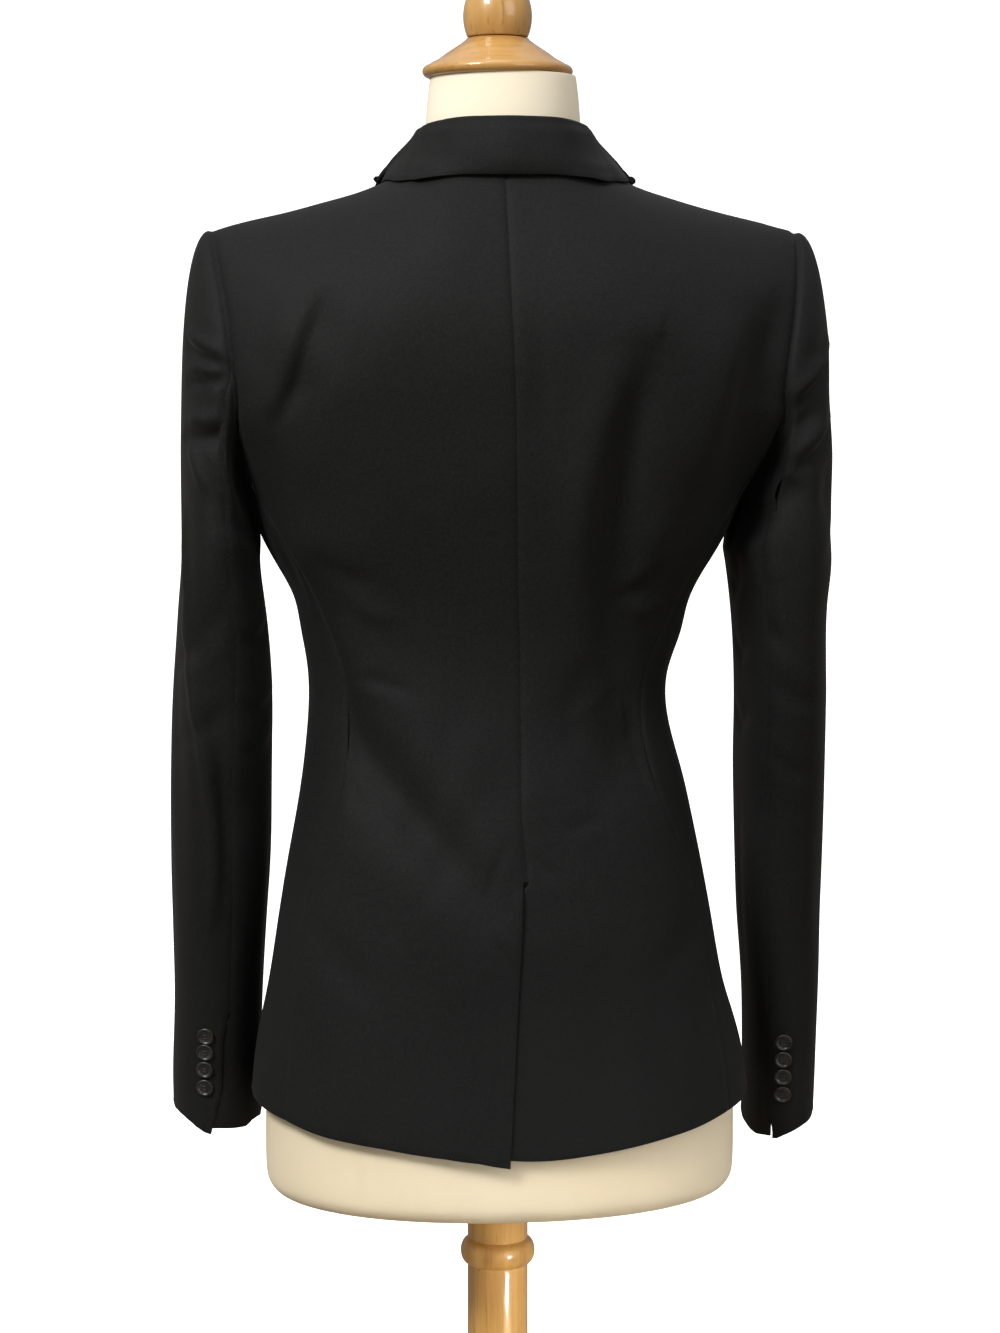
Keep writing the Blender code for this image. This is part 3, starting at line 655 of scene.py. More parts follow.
@dataclass(frozen=True)
class Jersey:
    """Cream cotton jersey pulled over the form, with painted shade making it darker and warmer towards the bottom.
    """

    name: str = "cream_jersey"
    pale: tuple[float, float, float] = (0.82, 0.75, 0.60)
    warm: tuple[float, float, float] = (0.76, 0.67, 0.50)
    rib: float = 0.0009

    def build(self) -> bpy.types.Material:
        """Makes the material.

        Returns:
            The form's cover.
        """
        shader = Shader(self.name)
        cloud = shader.noise(7.0, 3.0)
        knit = shader.noise(1.0 / self.rib, 1.0, shader.stretched((1.0, 1.0, 0.5)))
        tone = shader.add(shader.between(cloud, 0.34, 0.68, 0.0, 0.85), shader.between(knit, 0.3, 0.7, 0.0, 0.15))
        colour = shader.ramp(tone, [(0.0, self.pale), (1.0, self.warm)])
        # Painted shade: the lower form is multiplied darker and warmer, standing in for the top light and warm light
        # from below.
        painted_low_shade = shader.mix(1.0, colour, (0.88, 0.84, 0.76, 1.0), "MULTIPLY")
        colour = shader.mix(shader.height(0.34, 0.70), painted_low_shade, colour)
        shader.paint(
            colour,
            shader.between(cloud, 0.3, 0.7, 0.72, 0.82),
            Sheen_Weight=0.12,
            Sheen_Roughness=0.5,
            Specular_IOR_Level=0.25,
        )
        shader.bump(knit, 0.00012, 0.6)
        shader.bump(shader.noise(40.0, 2.0), 0.0005, 0.25)
        return shader.material


@dataclass(frozen=True)
class VarnishedWood:
    """Honey coloured hardwood with long grain, short pores and a glossy varnish, with painted shade making it darker
    and redder towards the top.
    """

    name: str = "honey_wood"
    pale: tuple[float, float, float] = (0.78, 0.48, 0.165)
    mid: tuple[float, float, float] = (0.66, 0.37, 0.105)
    dark: tuple[float, float, float] = (0.44, 0.21, 0.050)
    lying: bool = False

    def grain(self, scale: tuple[float, float, float]) -> tuple[float, float, float]:
        """Turns the grain from upright to level where the wood lies flat."""
        return scale[::-1] if self.lying else scale

    def build(self) -> bpy.types.Material:
        """Makes the material.

        Returns:
            The turned pieces' wood.
        """
        shader = Shader(self.name)
        wander = shader.noise(16.0, 2.0, shader.stretched(self.grain((1.0, 1.0, 0.30))))
        figure = shader.noise(95.0, 4.0, shader.stretched(self.grain((1.0, 0.55, 0.045)), 12.0), 0.6)
        pores = shader.noise(520.0, 2.0, shader.stretched(self.grain((1.0, 1.0, 0.030))))
        tone = shader.add(
            shader.between(wander, 0.35, 0.65, 0.0, 0.45), shader.between(figure, 0.36, 0.66, 0.0, 0.55)
        )
        colour = shader.ramp(tone, [(0.0, self.pale), (0.5, self.mid), (1.0, self.dark)])
        line = shader.between(pores, 0.60, 0.70, 0.0, 0.38)
        colour = shader.mix(line, colour, (0.20, 0.075, 0.018, 1.0))
        # Painted shade: the wood is multiplied darker and redder towards the top, on the cap and finial that face
        # the overhead light.
        painted_top_shade = shader.mix(1.0, colour, (0.62, 0.57, 0.52, 1.0), "MULTIPLY")
        colour = shader.mix(shader.height(0.60, 1.00), colour, painted_top_shade)
        shader.paint(
            colour,
            shader.between(figure, 0.3, 0.7, 0.30, 0.42),
            Coat_Weight=0.55,
            Coat_Roughness=0.10,
            Specular_IOR_Level=0.4,
        )
        shader.bump(figure, 0.00015, 0.35)
        shader.bump(pores, 0.00010, 0.30)
        return shader.material


@dataclass(frozen=True)
class Paper:
    """The studio's plain pale ground."""

    name: str = "studio_paper"
    shade: float = 0.93

    def build(self) -> bpy.types.Material:
        """Makes the material.

        Returns:
            The floor's finish.
        """
        shader = Shader(self.name)
        shader.paint(
            (self.shade, self.shade, self.shade, 1.0), 0.9, Specular_IOR_Level=0.1, Emission_Strength=0.75
        )
        shader.surface.inputs["Emission Color"].default_value = (1.0, 1.0, 1.0, 1.0)
        return shader.material


# ---------------------------------------------------------------- the garment's cut

HEM_TOP = 0.36  # a border below this that lies level is the hem
CUFF_TOP = 0.33  # and on a sleeve the cuff
VENT_TOP = 0.4915  # the back's seam is sewn down to here
UNDERARM = 0.728  # the armhole begins above this
SLEEVE_HEAD = 0.762  # above this the sleeve's head is set in
VENT_HALF = 0.060  # below VENT_TOP a border nearer the middle than this is the vent's
ALLOWANCE = 0.0020  # the cloth that runs on under a neighbour
ALLOWANCE_HEAD = 0.0060  # and where the sleeve's head is set in
ALLOWANCE_LOW = 0.0080  # and low on the armhole, where most is needed
SINK = 0.0011  # how much lower that hidden strip ends
# How much higher than its solid the left back's hem is, along x.
HEM_LEFT = ((-0.010, -0.0034), (-0.003, -0.0032), (0.004, -0.0021), (0.014, -0.0006), (0.024, 0.0013),
            (0.045, 0.0028), (0.066, 0.0029), (0.086, 0.0032), (0.107, 0.0020), (0.122, 0.0005), (0.132, 0.0))
# Half width of the collar's fall beside the neck, along y.
FALL_EDGE = {
    Side.LEFT: ((-0.0600, 0.1000), (-0.0500, 0.0930), (-0.0374, 0.0893), (-0.0192, 0.0848), (-0.0043, 0.0808),
                (-0.0035, 0.2000)),
    Side.RIGHT: ((-0.0600, 0.1050), (-0.0500, 0.0985), (-0.0438, 0.0977), (-0.0248, 0.0936), (-0.0056, 0.0893),
                 (-0.0048, 0.2000)),
}
# The middle of the sleeves at each height, as half width and as y.
SLEEVE_LINE = {
    Side.LEFT: ((0.30, 0.1935), (0.42, 0.191), (0.56, 0.1885), (0.70, 0.1875), (0.80, 0.197), (0.92, 0.205)),
    Side.RIGHT: ((0.30, 0.203), (0.42, 0.2005), (0.56, 0.195), (0.70, 0.1895), (0.80, 0.197), (0.92, 0.205)),
}
SLEEVE_BACK = ((0.30, -0.061), (0.42, -0.046), (0.56, -0.022), (0.70, -0.004), (0.80, 0.0), (0.92, 0.0))
# Half width of the armhole's plane at each height.
ARMHOLE_LINE = ((0.745, 0.166), (0.788, 0.176), (0.820, 0.1795), (0.860, 0.185), (0.917, 0.193))
# How far the cuff's vent stands open at each height.
VENT_SHIFT = {
    Side.LEFT: ((0.300, 0.0128), (0.306, 0.0127), (0.319, 0.0095), (0.336, 0.0050), (0.360, 0.0047),
                (0.373, 0.0043), (0.381, 0.0018), (0.387, 0.0)),
    Side.RIGHT: ((0.295, 0.0055), (0.300, 0.0045), (0.306, 0.0014), (0.312, 0.0008), (0.360, 0.0007),
                 (0.375, 0.0)),
}
# How much higher than its solid the cuff is, by degrees round the arm.
CUFF = {
    Side.LEFT: ((-20.0, 0.0), (10.0, 0.0035), (40.0, 0.0055), (56.0, 0.0045), (70.0, 0.0022), (77.0, 0.0007),
                (90.0, 0.0), (118.0, 0.0), (128.0, 0.0027), (140.0, 0.0027), (165.0, 0.0)),
    Side.RIGHT: ((0.0, 0.0), (30.0, 0.0020), (75.0, 0.0020), (82.0, 0.0012), (93.0, -0.0007),
                 (104.0, -0.0026), (112.0, -0.0014), (127.0, -0.0020), (145.0, -0.0010), (165.0, 0.0)),
}
# Where the hind seam runs, round the arm at each height.
HIND_ARC = {
    Side.LEFT: ((0.296, 0.081), (0.900, 0.081)),
    Side.RIGHT: ((0.296, 0.098), (0.900, 0.098)),
}


def on_line(table: tuple[tuple[float, float], ...], at: Points) -> Points:
    """Reads a two column table, rising in its first column, at some places."""
    keys, values = zip(*table)
    return np.interp(at, keys, values)


def inboard(points: Points) -> Points:
    """How far points lie from the armhole's plane, outwards."""
    return np.abs(points[:, 0]) - on_line(ARMHOLE_LINE, points[:, 2])


def armhole_depth(points: Points) -> Points:
    """Depth of the seams, greater where the sleeve is set in.

    Args:
        points: Places on the piece.

    Returns:
        The depth at each, in metres.
    """
    near = 1.0 - soft_step((np.abs(inboard(points)) - 0.008) / 0.008)
    middle = 1.0 - soft_step((np.abs(points[:, 0]) - 0.020) / 0.020)
    return 0.0006 + 0.0004 * middle + 0.0007 * near * soft_step((points[:, 2] - 0.770) / 0.030)


def body_allowance(points: Points) -> Points:
    """Seam allowances of the body: wider round the armhole.

    Args:
        points: Places on the piece.

    Returns:
        The width at each, in metres.
    """
    armhole = (np.abs(inboard(points)) < 0.011) & (points[:, 2] > UNDERARM)
    low = armhole & (points[:, 2] < SLEEVE_HEAD)
    return np.where(low, ALLOWANCE_LOW, np.where(armhole, ALLOWANCE_HEAD, ALLOWANCE))


def lies_level(at: Points, run: Points, top: float, steep: float = 0.6) -> Points:
    """Which stretches of a border, given by middle and direction, lie below top and less than steep."""
    return (at[:, 2] < top) & (np.abs(run[:, 2]) < steep)


# ---------------------------------------------------------------- cloth

FACES = (False, False, True)


@contextmanager
def editing_edges(obj: bpy.types.Object, mode: tuple[bool, bool, bool] = (False, True, False)) -> Iterator[None]:
    """Edit mode on one object with what is selected in it kept.

    Args:
        obj: The mesh object to edit.
        mode: Which of vertices, edges and faces are selected by.

    Returns:
        Nothing, while edit mode lasts.
    """
    only(obj)
    bpy.context.tool_settings.mesh_select_mode = mode
    bpy.ops.object.mode_set(mode="EDIT")
    yield
    bpy.ops.object.mode_set(mode="OBJECT")


@dataclass(frozen=True)
class Fold:
    """A soft trough or ridge along a line of a cloth piece, fading at its ends."""

    line: tuple[tuple[float, float], ...]
    width: float
    depth: float  # negative for a trough
    lip: float = 0.0  # share of it that stands up on the line's left, or right if negative

    def height(self, flat: Points) -> Points:
        """How far the fold lifts the cloth.

        Args:
            flat: Places on the piece, as rows of two.

        Returns:
            The lift at each place.
        """
        ends = np.array(self.line)
        runs = np.linalg.norm(np.diff(ends, axis=0), axis=1)
        begun = np.concatenate([[0.0], np.cumsum(runs)])
        least = np.full(len(flat), 1.0)
        along = np.zeros(len(flat))
        left = np.zeros(len(flat))
        for start, end, run, before in zip(ends, ends[1:], runs, begun):
            way = (end - start) / run
            away = flat - start
            reached = np.clip(away @ way, 0.0, run)
            gap = np.linalg.norm(away - reached[:, None] * way, axis=1)
            nearer = gap < least
            least = np.where(nearer, gap, least)
            along = np.where(nearer, before + reached, along)
            left = np.where(nearer, way[0] * away[:, 1] - way[1] * away[:, 0], left)
        share = np.clip(along / begun[-1], 0.0, 1.0)
        fade = np.sin(np.pi * (0.03 + 0.94 * share)) ** 0.6
        aside = np.copysign(least, left) / self.width
        bed = np.exp(-(aside**2))
        lip = abs(self.lip) * np.exp(-(((aside - math.copysign(1.7, self.lip)) / 1.2) ** 2))
        return self.depth * fade * (bed - lip)


def folds(*rows: tuple, across: float = 0.001) -> tuple[Fold, ...]:
    """Makes folds from a table.

    Args:
        rows: Each fold's width and depth in mm, its lip, and then its line's places, the second
            number of each in mm too.
        across: The metres in one of a place's first number.

    Returns:
        The folds.
    """
    return tuple(
        Fold(tuple((x * across, z / 1000.0) for x, z in line), width / 1000.0, depth / 1000.0, lip)
        for width, depth, lip, *line in rows
    )


def arm_folds(*rows: tuple) -> tuple[Fold, ...]:
    """Makes folds from a table whose places are degrees round a sleeve and heights."""
    return folds(*rows, across=math.radians(1.0) * SLEEVE_RADIUS)


@dataclass
class ClothPiece:
    """One cut and sewn piece: a thin shell on its solid's outer face."""

    node: str
    side: Side
    flat: tuple[float, float]
    area: float
    folds: tuple[Fold, ...] = ()
    held: str = "hung"
    levels: int = 3
    thickness: float = 0.0014
    influence: float = 2.0
    quads_first: bool = False
    seam_reach: float = 0.0020  # half width of a sunk seam
    border_reach: float = 0.016  # how far in a border is felt
    meet: float = 0.00028  # how far sewn borders move together
    rests_on: tuple[str, ...] = ("form_torso",)

    def middle(self, points: Points) -> Points:
        """The line that the piece goes round, at each point's height."""
        return points * (0.0, 0.0, 1.0)

    def sheet(self, points: Points) -> Points:
        """Two coordinates on the piece, which its folds are laid out in."""
        return points[:, [0, 2]]

    def sewn(self, at: Points, run: Points) -> Points:
        """Which stretches of the border are seams.

        Args:
            at: Their middles.
            run: Their directions; not used here.

        Returns:
            True for each that is sewn to another piece.
        """
        return np.ones(len(at), bool)

    def border(self, obj: bpy.types.Object) -> tuple[Points, Points]:
        """Finds the piece's border.

        Args:
            obj: The net.

        Returns:
            Its vertex pairs, and True for each pair that is a seam.
        """
        pairs = border_edges(obj)
        ends = points_of(obj)[pairs]
        run = ends[:, 1] - ends[:, 0]
        return pairs, self.sewn(ends.mean(axis=1), run / np.linalg.norm(run, axis=1)[:, None])

    def outer_skin(self) -> bpy.types.Object:
        """Copies the solid and keeps only its outer face, as a net of quads.

        Returns:
            The net.
        """
        obj = own_copy(self.node, "wool_" + self.node)
        if self.quads_first:
            to_quads(obj, self.influence)
        pairs = edges_of(obj)
        points = points_of(obj)
        length = np.linalg.norm(points[pairs[:, 0]] - points[pairs[:, 1]], axis=1)
        across = np.abs(length - WALL) < 0.000025
        keys = {tuple(sorted(pair)) for pair in pairs[across].tolist()}
        rim = [any(tuple(sorted(key)) in keys for key in face.edge_keys) for face in obj.data.polygons]
        mesh = obj.data
        mesh.vertices.foreach_set("select", [False] * len(mesh.vertices))
        mesh.edges.foreach_set("select", [False] * len(mesh.edges))
        mesh.polygons.foreach_set("select", rim)
        with editing_edges(obj, FACES):
            bpy.ops.mesh.delete(type="FACE")
        bpy.ops.mesh.separate(type="LOOSE")
        skins = list(bpy.context.selected_objects)
        outer = max(skins, key=self.outwardness)
        for skin in skins:
            if skin != outer:
                bpy.data.objects.remove(skin)
        outer.name = outer.data.name = "wool_" + self.node
        if not self.quads_first:
            to_quads(outer, self.influence)
        return outer

    def outwardness(self, skin: bpy.types.Object) -> float:
        """How much a skin's faces look away from the piece's middle.

        Args:
            skin: A part of the solid's surface.

        Returns:
            The area that looks away, less the area that looks in.
        """
        total = 0.0
        for face in skin.data.polygons:
            centre = np.array(face.center)
            away = centre - self.middle(centre[None])[0]
            total += face.area * float(away @ np.array(face.normal))
        return total

    def seam_depth(self, points: Points) -> Points:
        """How far a seam would sink at each point."""
        return np.full(len(points), 0.0009)

    def relief(self, points: Points) -> Points:
        """How far the folds lift each point."""
        flat = self.sheet(points)
        return sum((fold.height(flat) for fold in self.folds), np.zeros(len(points)))

    def work_cloth(self, obj: bpy.types.Object) -> None:
        """Lays in the folds, draws in the seams and closes them.

        Args:
            obj: The refined net.
        """
        points, normals = points_of(obj), normals_of(obj)
        border, sewn = self.border(obj)
        seam, edge = (near_lines(points, points[border[part]], self.border_reach) for part in (sewn, ~sewn))
        lift = self.relief(points) * (0.35 + 0.65 * soft_step(seam / 0.010))
        depth = self.seam_depth(points)
        lift -= depth * hump(seam, self.seam_reach)
        lift -= 0.35 * depth * hump(seam, 3.2 * self.seam_reach)
        pucker = np.sin(points[:, 2] * 620.0 + 2.0 * np.sin(points[:, 2] * 97.0 + points[:, 0] * 40.0))
        lift += 0.00014 * pucker * hump(seam, 0.006) * soft_step(seam / 0.0015)
        lift += 0.00020 * hump(edge - 0.003, 0.002)
        lift -= 0.00050 * hump(edge, 0.0009)
        moved = points + normals * lift[:, None]
        put_points(obj, self.joined(obj, moved, border[sewn], border[~sewn]))

    def joined(self, obj: bpy.types.Object, points: Points, seams: Points, edges: Points) -> Points:
        """Moves the sewn border a little outwards, so that neighbours meet.

        Args:
            obj: The net.
            points: Its vertices.
            seams: The sewn border's vertex pairs.
            edges: The free border's vertex pairs.

        Returns:
            The vertices, with the border moved.
        """
        outer = np.zeros(len(points), bool)
        outer[seams.ravel()] = True
        free = np.zeros(len(points), bool)
        free[edges.ravel()] = True
        ways = ways_out(edges_of(obj), points, outer, outer | free)
        size = np.linalg.norm(ways, axis=1)
        able = size > SAME
        points = points.copy()
        points[able] += ways[able] / size[able][:, None] * self.meet
        return points

    def allowance(self, points: Points) -> Points:
        """How far the cloth runs on under its neighbour, at points of a sewn border."""
        return body_allowance(points)

    def sink(self, points: Points) -> Points:
        """How much lower that hidden strip ends."""
        return np.full(len(points), SINK)

    def extend(self, obj: bpy.types.Object) -> None:
        """Adds the seam allowance, which lies hidden under the neighbouring piece.

        Args:
            obj: The worked piece.
        """
        points, normals = points_of(obj), normals_of(obj)
        border, sewn = self.border(obj)
        if not sewn.any():
            return
        rim = np.zeros(len(points), bool)
        rim[border[sewn].ravel()] = True
        pairs = edges_of(obj)
        ways = ways_out(pairs, points, rim, rim)
        size = np.linalg.norm(ways, axis=1)
        corner = rim & (size < SAME)
        ways /= np.maximum(size, SAME)[:, None]
        for i in np.flatnonzero(corner):
            beside = pairs[(pairs == i).any(axis=1)].ravel()
            ways[i] = ways[beside[rim[beside]]].mean(axis=0)
        far, low = self.allowance(points), self.sink(points)
        held = {tuple(np.round(points[i], 6)): i for i in np.flatnonzero(rim)}
        pick(obj, rim)
        with editing_edges(obj):
            bpy.ops.mesh.extrude_edges_indiv()
        moved = points_of(obj)
        for i in range(len(points), len(moved)):
            j = held[tuple(np.round(moved[i], 6))]
            moved[i] += far[j] * ways[j] - low[j] * normals[j]
        put_points(obj, moved)

    def cut(self, points: Points) -> Points:
        """Moves points of the smooth net to the piece's real cut.  Most need nothing."""
        return points

    def build(self, wool: bpy.types.Material, lining: bpy.types.Material) -> bpy.types.Object:
        """Makes the finished piece.

        Args:
            wool: The cloth's right side.
            lining: What backs it.

        Returns:
            The piece, riding on the body in place of its solid.
        """
        obj = self.outer_skin()
        refine(obj, self.levels)
        put_points(obj, self.cut(points_of(obj)))
        self.work_cloth(obj)
        self.extend(obj)
        coat(obj, wool, lining)
        add_modifier(
            obj,
            "SOLIDIFY",
            thickness=self.thickness,
            offset=-1.0,
            use_even_offset=False,
            material_offset=1,
            material_offset_rim=0,
        )
        dress(obj, self.node, 60.0)
        return obj


@dataclass
class BackPanel(ClothPiece):
    """Half of the back, sewn down its middle to the top of the vent."""

    def seam_depth(self, points: Points) -> Points:
        """The back's seams are deeper down its middle and where the sleeve is set in."""
        return armhole_depth(points)

    def sewn(self, at: Points, run: Points) -> Points:
        """Everything but the hem and the vent.

        Args:
            at: The middles of its stretches.
            run: Their directions.

        Returns:
            True for each stretch that is a seam.
        """
        vent = (np.abs(at[:, 0]) < VENT_HALF) & (at[:, 2] < VENT_TOP) & (np.abs(run[:, 2]) > 0.3)
        return ~(lies_level(at, run, HEM_TOP) | vent)

    def cut(self, points: Points) -> Points:
        """Levels the hem, with the lapping corner of the vent hanging lower.

        Args:
            points: The net's vertices.

        Returns:
            The vertices, moved.
        """
        if self.side is Side.RIGHT:
            return points
        raised = on_line(HEM_LEFT, points[:, 0]) * soft_step((0.372 - points[:, 2]) / 0.060)
        return points + UP * raised[:, None]

    def vent_head(self, points: Points) -> Points:
        """Which points are about the top of the vent."""
        return (np.abs(points[:, 0]) < VENT_HALF) & (np.abs(points[:, 2] - VENT_TOP) < 0.035)

    def allowance(self, points: Points) -> Points:
        """Wider at the top of the vent and round the armhole."""
        return np.where(self.vent_head(points), ALLOWANCE_LOW, body_allowance(points))

    def sink(self, points: Points) -> Points:
        """Deeper at the top of the vent."""
        return np.where(self.vent_head(points), 0.0020, SINK)


@dataclass
class SidePanel(ClothPiece):
    """The side body under the arm."""

    def sewn(self, at: Points, run: Points) -> Points:
        """Everything but the hem."""
        return ~lies_level(at, run, HEM_TOP)

    def seam_depth(self, points: Points) -> Points:
        """Shallower than elsewhere."""
        return np.full(len(points), 0.0005)

    def allowance(self, points: Points) -> Points:
        """Wider under the arm."""
        armhole = (np.abs(inboard(points)) < 0.012) & (points[:, 2] > 0.722)
        return np.where(armhole, 0.0036, ALLOWANCE)


@dataclass
class FrontPanel(ClothPiece):
    """Half of the front, cut away below the button."""

    def sewn(self, at: Points, run: Points) -> Points:
        """Everything but the hem and the front edge.

        Args:
            at: The middles of its stretches.
            run: Their directions.

        Returns:
            True for each stretch that is a seam.
        """
        edge = (np.abs(at[:, 0]) < 0.075) & (np.abs(run[:, 2]) > 0.45)
        return ~(lies_level(at, run, HEM_TOP, 0.8) | edge)


@dataclass
class TurnedPiece(ClothPiece):
    """A piece with wool on both sides, its edges turned in all round."""

    def sewn(self, at: Points, run: Points) -> Points:
        """Nothing: its edges are turned."""
        return np.zeros(len(at), bool)


@dataclass
class Lapel(TurnedPiece):
    """The turned back part of a front, rolling out from the break line."""


@dataclass
class Collar(TurnedPiece):
    """Stand and fall in one cloth, folded over at the roll."""

    neck_y: float = -0.030  # the middle of the neck
    roll: float = 0.984  # the fall begins below this
    landing: float = 0.948  # and lies on the back here
    clear: float = 0.0016  # how far the fall stands off the stand
    above_back: float = 0.0022  # and its edge off the back
    edge_reach: float = 0.016  # how far from its edge the fall gives way

    def outwardness(self, skin: bpy.types.Object) -> float:
        """The outer face goes round the outside of the fold, so it is the larger."""
        return sum(face.area for face in skin.data.polygons)

    def work_cloth(self, obj: bpy.types.Object) -> None:
        """Also keeps the fall off the stand that it folds over, and lays its edge down.

        Args:
            obj: The refined net.
        """
        points, normals = points_of(obj), normals_of(obj)
        outwards = (normals * (points - self.middle(points))).sum(axis=1)
        fall = soft_step(outwards / 0.02) * soft_step((self.roll - points[:, 2]) / 0.008)
        landing = soft_step((points[:, 2] - self.landing) / 0.010)
        points += normals * (self.clear * fall * landing)[:, None]
        rim = np.unique(border_edges(obj))
        put_points(obj, self.laid_down(points, normals, fall, rim[fall[rim] > 0.5]))
        super().work_cloth(obj)

    def laid_down(self, points: Points, normals: Points, fall: Points, rim: Points) -> Points:
        """Sweeps the lower edge of the fall down at the sides and brings it near the back.

        Args:
            points: The collar's points.
            normals: The way each faces.
            fall: 1 on the fall and 0 on the stand.
            rim: Which points are on the fall's lower edge.

        Returns:
            The points, moved.
        """
        behind = points[:, 1] - self.neck_y
        turn = np.arctan2(points[:, 0], behind)
        rim = rim[(points[rim, 2] < 0.965) & (np.abs(turn[rim]) < 2.1)]
        rim = rim[np.argsort(turn[rim])]
        above = points[:, 2] - np.interp(turn, turn[rim], points[rim, 2])
        low = fall * hump(np.maximum(above, 0.0), self.edge_reach)
        drop = np.interp(np.abs(points[:, 0]), (0.028, 0.055, 0.083, 0.095), (0.0, 0.0016, 0.0040, 0.0044))
        down = normals * normals[:, 2:3] - UP
        down /= np.maximum(np.linalg.norm(down, axis=1), 0.3)[:, None]
        edges = [on_line(FALL_EDGE[side], points[rim, 1]) for side in Side]
        beyond = np.maximum(np.abs(points[rim, 0]) - np.where(points[rim, 0] > 0, *edges) + 0.0012, 0.0) / 0.66
        share = drop * soft_step(behind / 0.020) - np.interp(turn, turn[rim], beyond)
        points = points + down * (share * low)[:, None]
        body = body_tree(("wool_back_left", "wool_back_right", "wool_front_left", "wool_front_right"))
        need = []
        for i in rim:
            spot, _, _, away = body.ray_cast(Vector(points[i]), Vector(-normals[i]), 0.03)
            need.append(0.0 if spot is None else self.above_back - away)
        inmost = -0.0040 * soft_step((np.abs(points[rim, 0]) - 0.056) / 0.024)
        need = np.clip(need, inmost, 0.003)
        blur = hump(turn[rim][:, None] - turn[rim][None], 0.10)
        need = blur @ need / blur.sum(axis=1)
        beside = soft_step((points[:, 1] + 0.055) / 0.025)
        share = fall * beside * hump(np.maximum(above, 0.0), 0.014)
        return points + normals * (np.interp(turn, turn[rim], need) * share)[:, None]


def body_tree(names: tuple[str, ...]) -> BVHTree:
    """A search tree over the faces of some finished pieces.

    Args:
        names: The pieces' names.

    Returns:
        The tree.
    """
    corners: list[Vector] = []
    faces: list[list[int]] = []
    for name in names:
        mesh = bpy.data.objects[name].data
        faces += [[len(corners) + i for i in face.vertices] for face in mesh.polygons]
        corners += [vertex.co.copy() for vertex in mesh.vertices]
    return BVHTree.FromPolygons(corners, faces)


@dataclass
class SleevePiece(ClothPiece):
    """The upper or under half of a sleeve, open at a short vent above the cuff."""

    upper: bool = True
    vent_z: float = 0.383
    corner: float = 0.0030

    def middle(self, points: Points) -> Points:
        """The arm's middle."""
        x = self.side.sign * on_line(SLEEVE_LINE[self.side], points[:, 2])
        return np.column_stack([x, on_line(SLEEVE_BACK, points[:, 2]), points[:, 2]])

    def sheet(self, points: Points) -> Points:
        """Metres round the arm from its outer side, and height.

        Args:
            points: Places on the piece.

        Returns:
            A row of the two for each.
        """
        away = points - self.middle(points)
        turn = np.arctan2(away[:, 1], away[:, 0] * self.side.sign)
        if not self.upper:
            turn = np.where(turn < 0, turn + 2 * math.pi, turn)
        return np.column_stack([turn * SLEEVE_RADIUS, points[:, 2]])

    def sewn(self, at: Points, run: Points) -> Points:
        """Everything but the cuff and the upper half's vent.

        Args:
            at: The middles of its stretches.
            run: Their directions.

        Returns:
            True for each stretch that is a seam.
        """
        turn = self.sheet(at)[:, 0] / SLEEVE_RADIUS
        hind = (turn > math.radians(60)) & (turn < math.radians(150))
        vent = self.upper & hind & (at[:, 2] < self.vent_z)
        return ~(lies_level(at, run, CUFF_TOP) | vent)

    def seam_depth(self, points: Points) -> Points:
        """Deeper where the sleeve is set in."""
        return armhole_depth(points)

    def hind_edge(self, flat: Points) -> Points:
        """How far points lie from the hind seam, round the sleeve."""
        return np.abs(flat[:, 0] - on_line(HIND_ARC[self.side], flat[:, 1]))

    def behind_vent(self, points: Points, above: float = 0.0) -> Points:
        """Which points are the under half's beside the vent, or above it by no more than this."""
        return (self.hind_edge(self.sheet(points)) < 0.012) & (points[:, 2] < self.vent_z + above) & (not self.upper)

    def allowance(self, points: Points) -> Points:
        """Wider at the head and behind the open vent.

        Args:
            points: Places on its border.

        Returns:
            The width at each, in metres.
        """
        low = (points[:, 2] > UNDERARM) & (points[:, 2] < SLEEVE_HEAD) & (inboard(points) < 0.013)
        head = (points[:, 2] >= SLEEVE_HEAD) & (inboard(points) < 0.021)
        far = np.where(low, ALLOWANCE_LOW, np.where(head, ALLOWANCE_HEAD, 0.0022))
        opened = on_line(VENT_SHIFT[self.side], points[:, 2])
        return np.where(self.behind_vent(points, 0.006), opened + 0.0050, far)

    def sink(self, points: Points) -> Points:
        """Deeper behind the vent."""
        return np.where(self.behind_vent(points), 0.0016, SINK)

    def cut(self, points: Points) -> Points:
        """Cuts the cuff, opens its vent and fills the underarm.

        Args:
            points: The net's vertices.

        Returns:
            The vertices: at the vent the upper edge draws back and its corner hangs lower.
        """
        flat = self.sheet(points)
        raised = on_line(CUFF[self.side], np.degrees(flat[:, 0] / SLEEVE_RADIUS))
        points = points + UP * (raised * soft_step((0.345 - points[:, 2]) / 0.045))[:, None]
        aside = self.hind_edge(flat)
        if not self.upper:
            inner = soft_step((0.022 - inboard(points)) / 0.010) * soft_step((aside - 0.002) / 0.014)
            full = 0.0048 * inner * hump(points[:, 2] - 0.744, 0.013)
            return points - np.outer(full * self.side.sign, (1.0, 0.0, 0.0))
        near = hump(aside, 0.020) * on_line(VENT_SHIFT[self.side], points[:, 2])
        turn = flat[:, 0] / SLEEVE_RADIUS
        way = np.column_stack([-np.sin(turn) * self.side.sign, np.cos(turn), np.zeros(len(turn))])
        away = points - self.middle(points)
        out = away / np.linalg.norm(away, axis=1)[:, None]
        raised = 0.0007 * hump(aside, 0.010) * soft_step((self.vent_z - points[:, 2]) / 0.008)
        drop = self.corner * hump(aside, 0.013) * soft_step((0.340 - points[:, 2]) / 0.036)
        return points - way * near[:, None] + out * raised[:, None] - UP * drop[:, None]


# ---------------------------------------------------------------- where the cloth creases

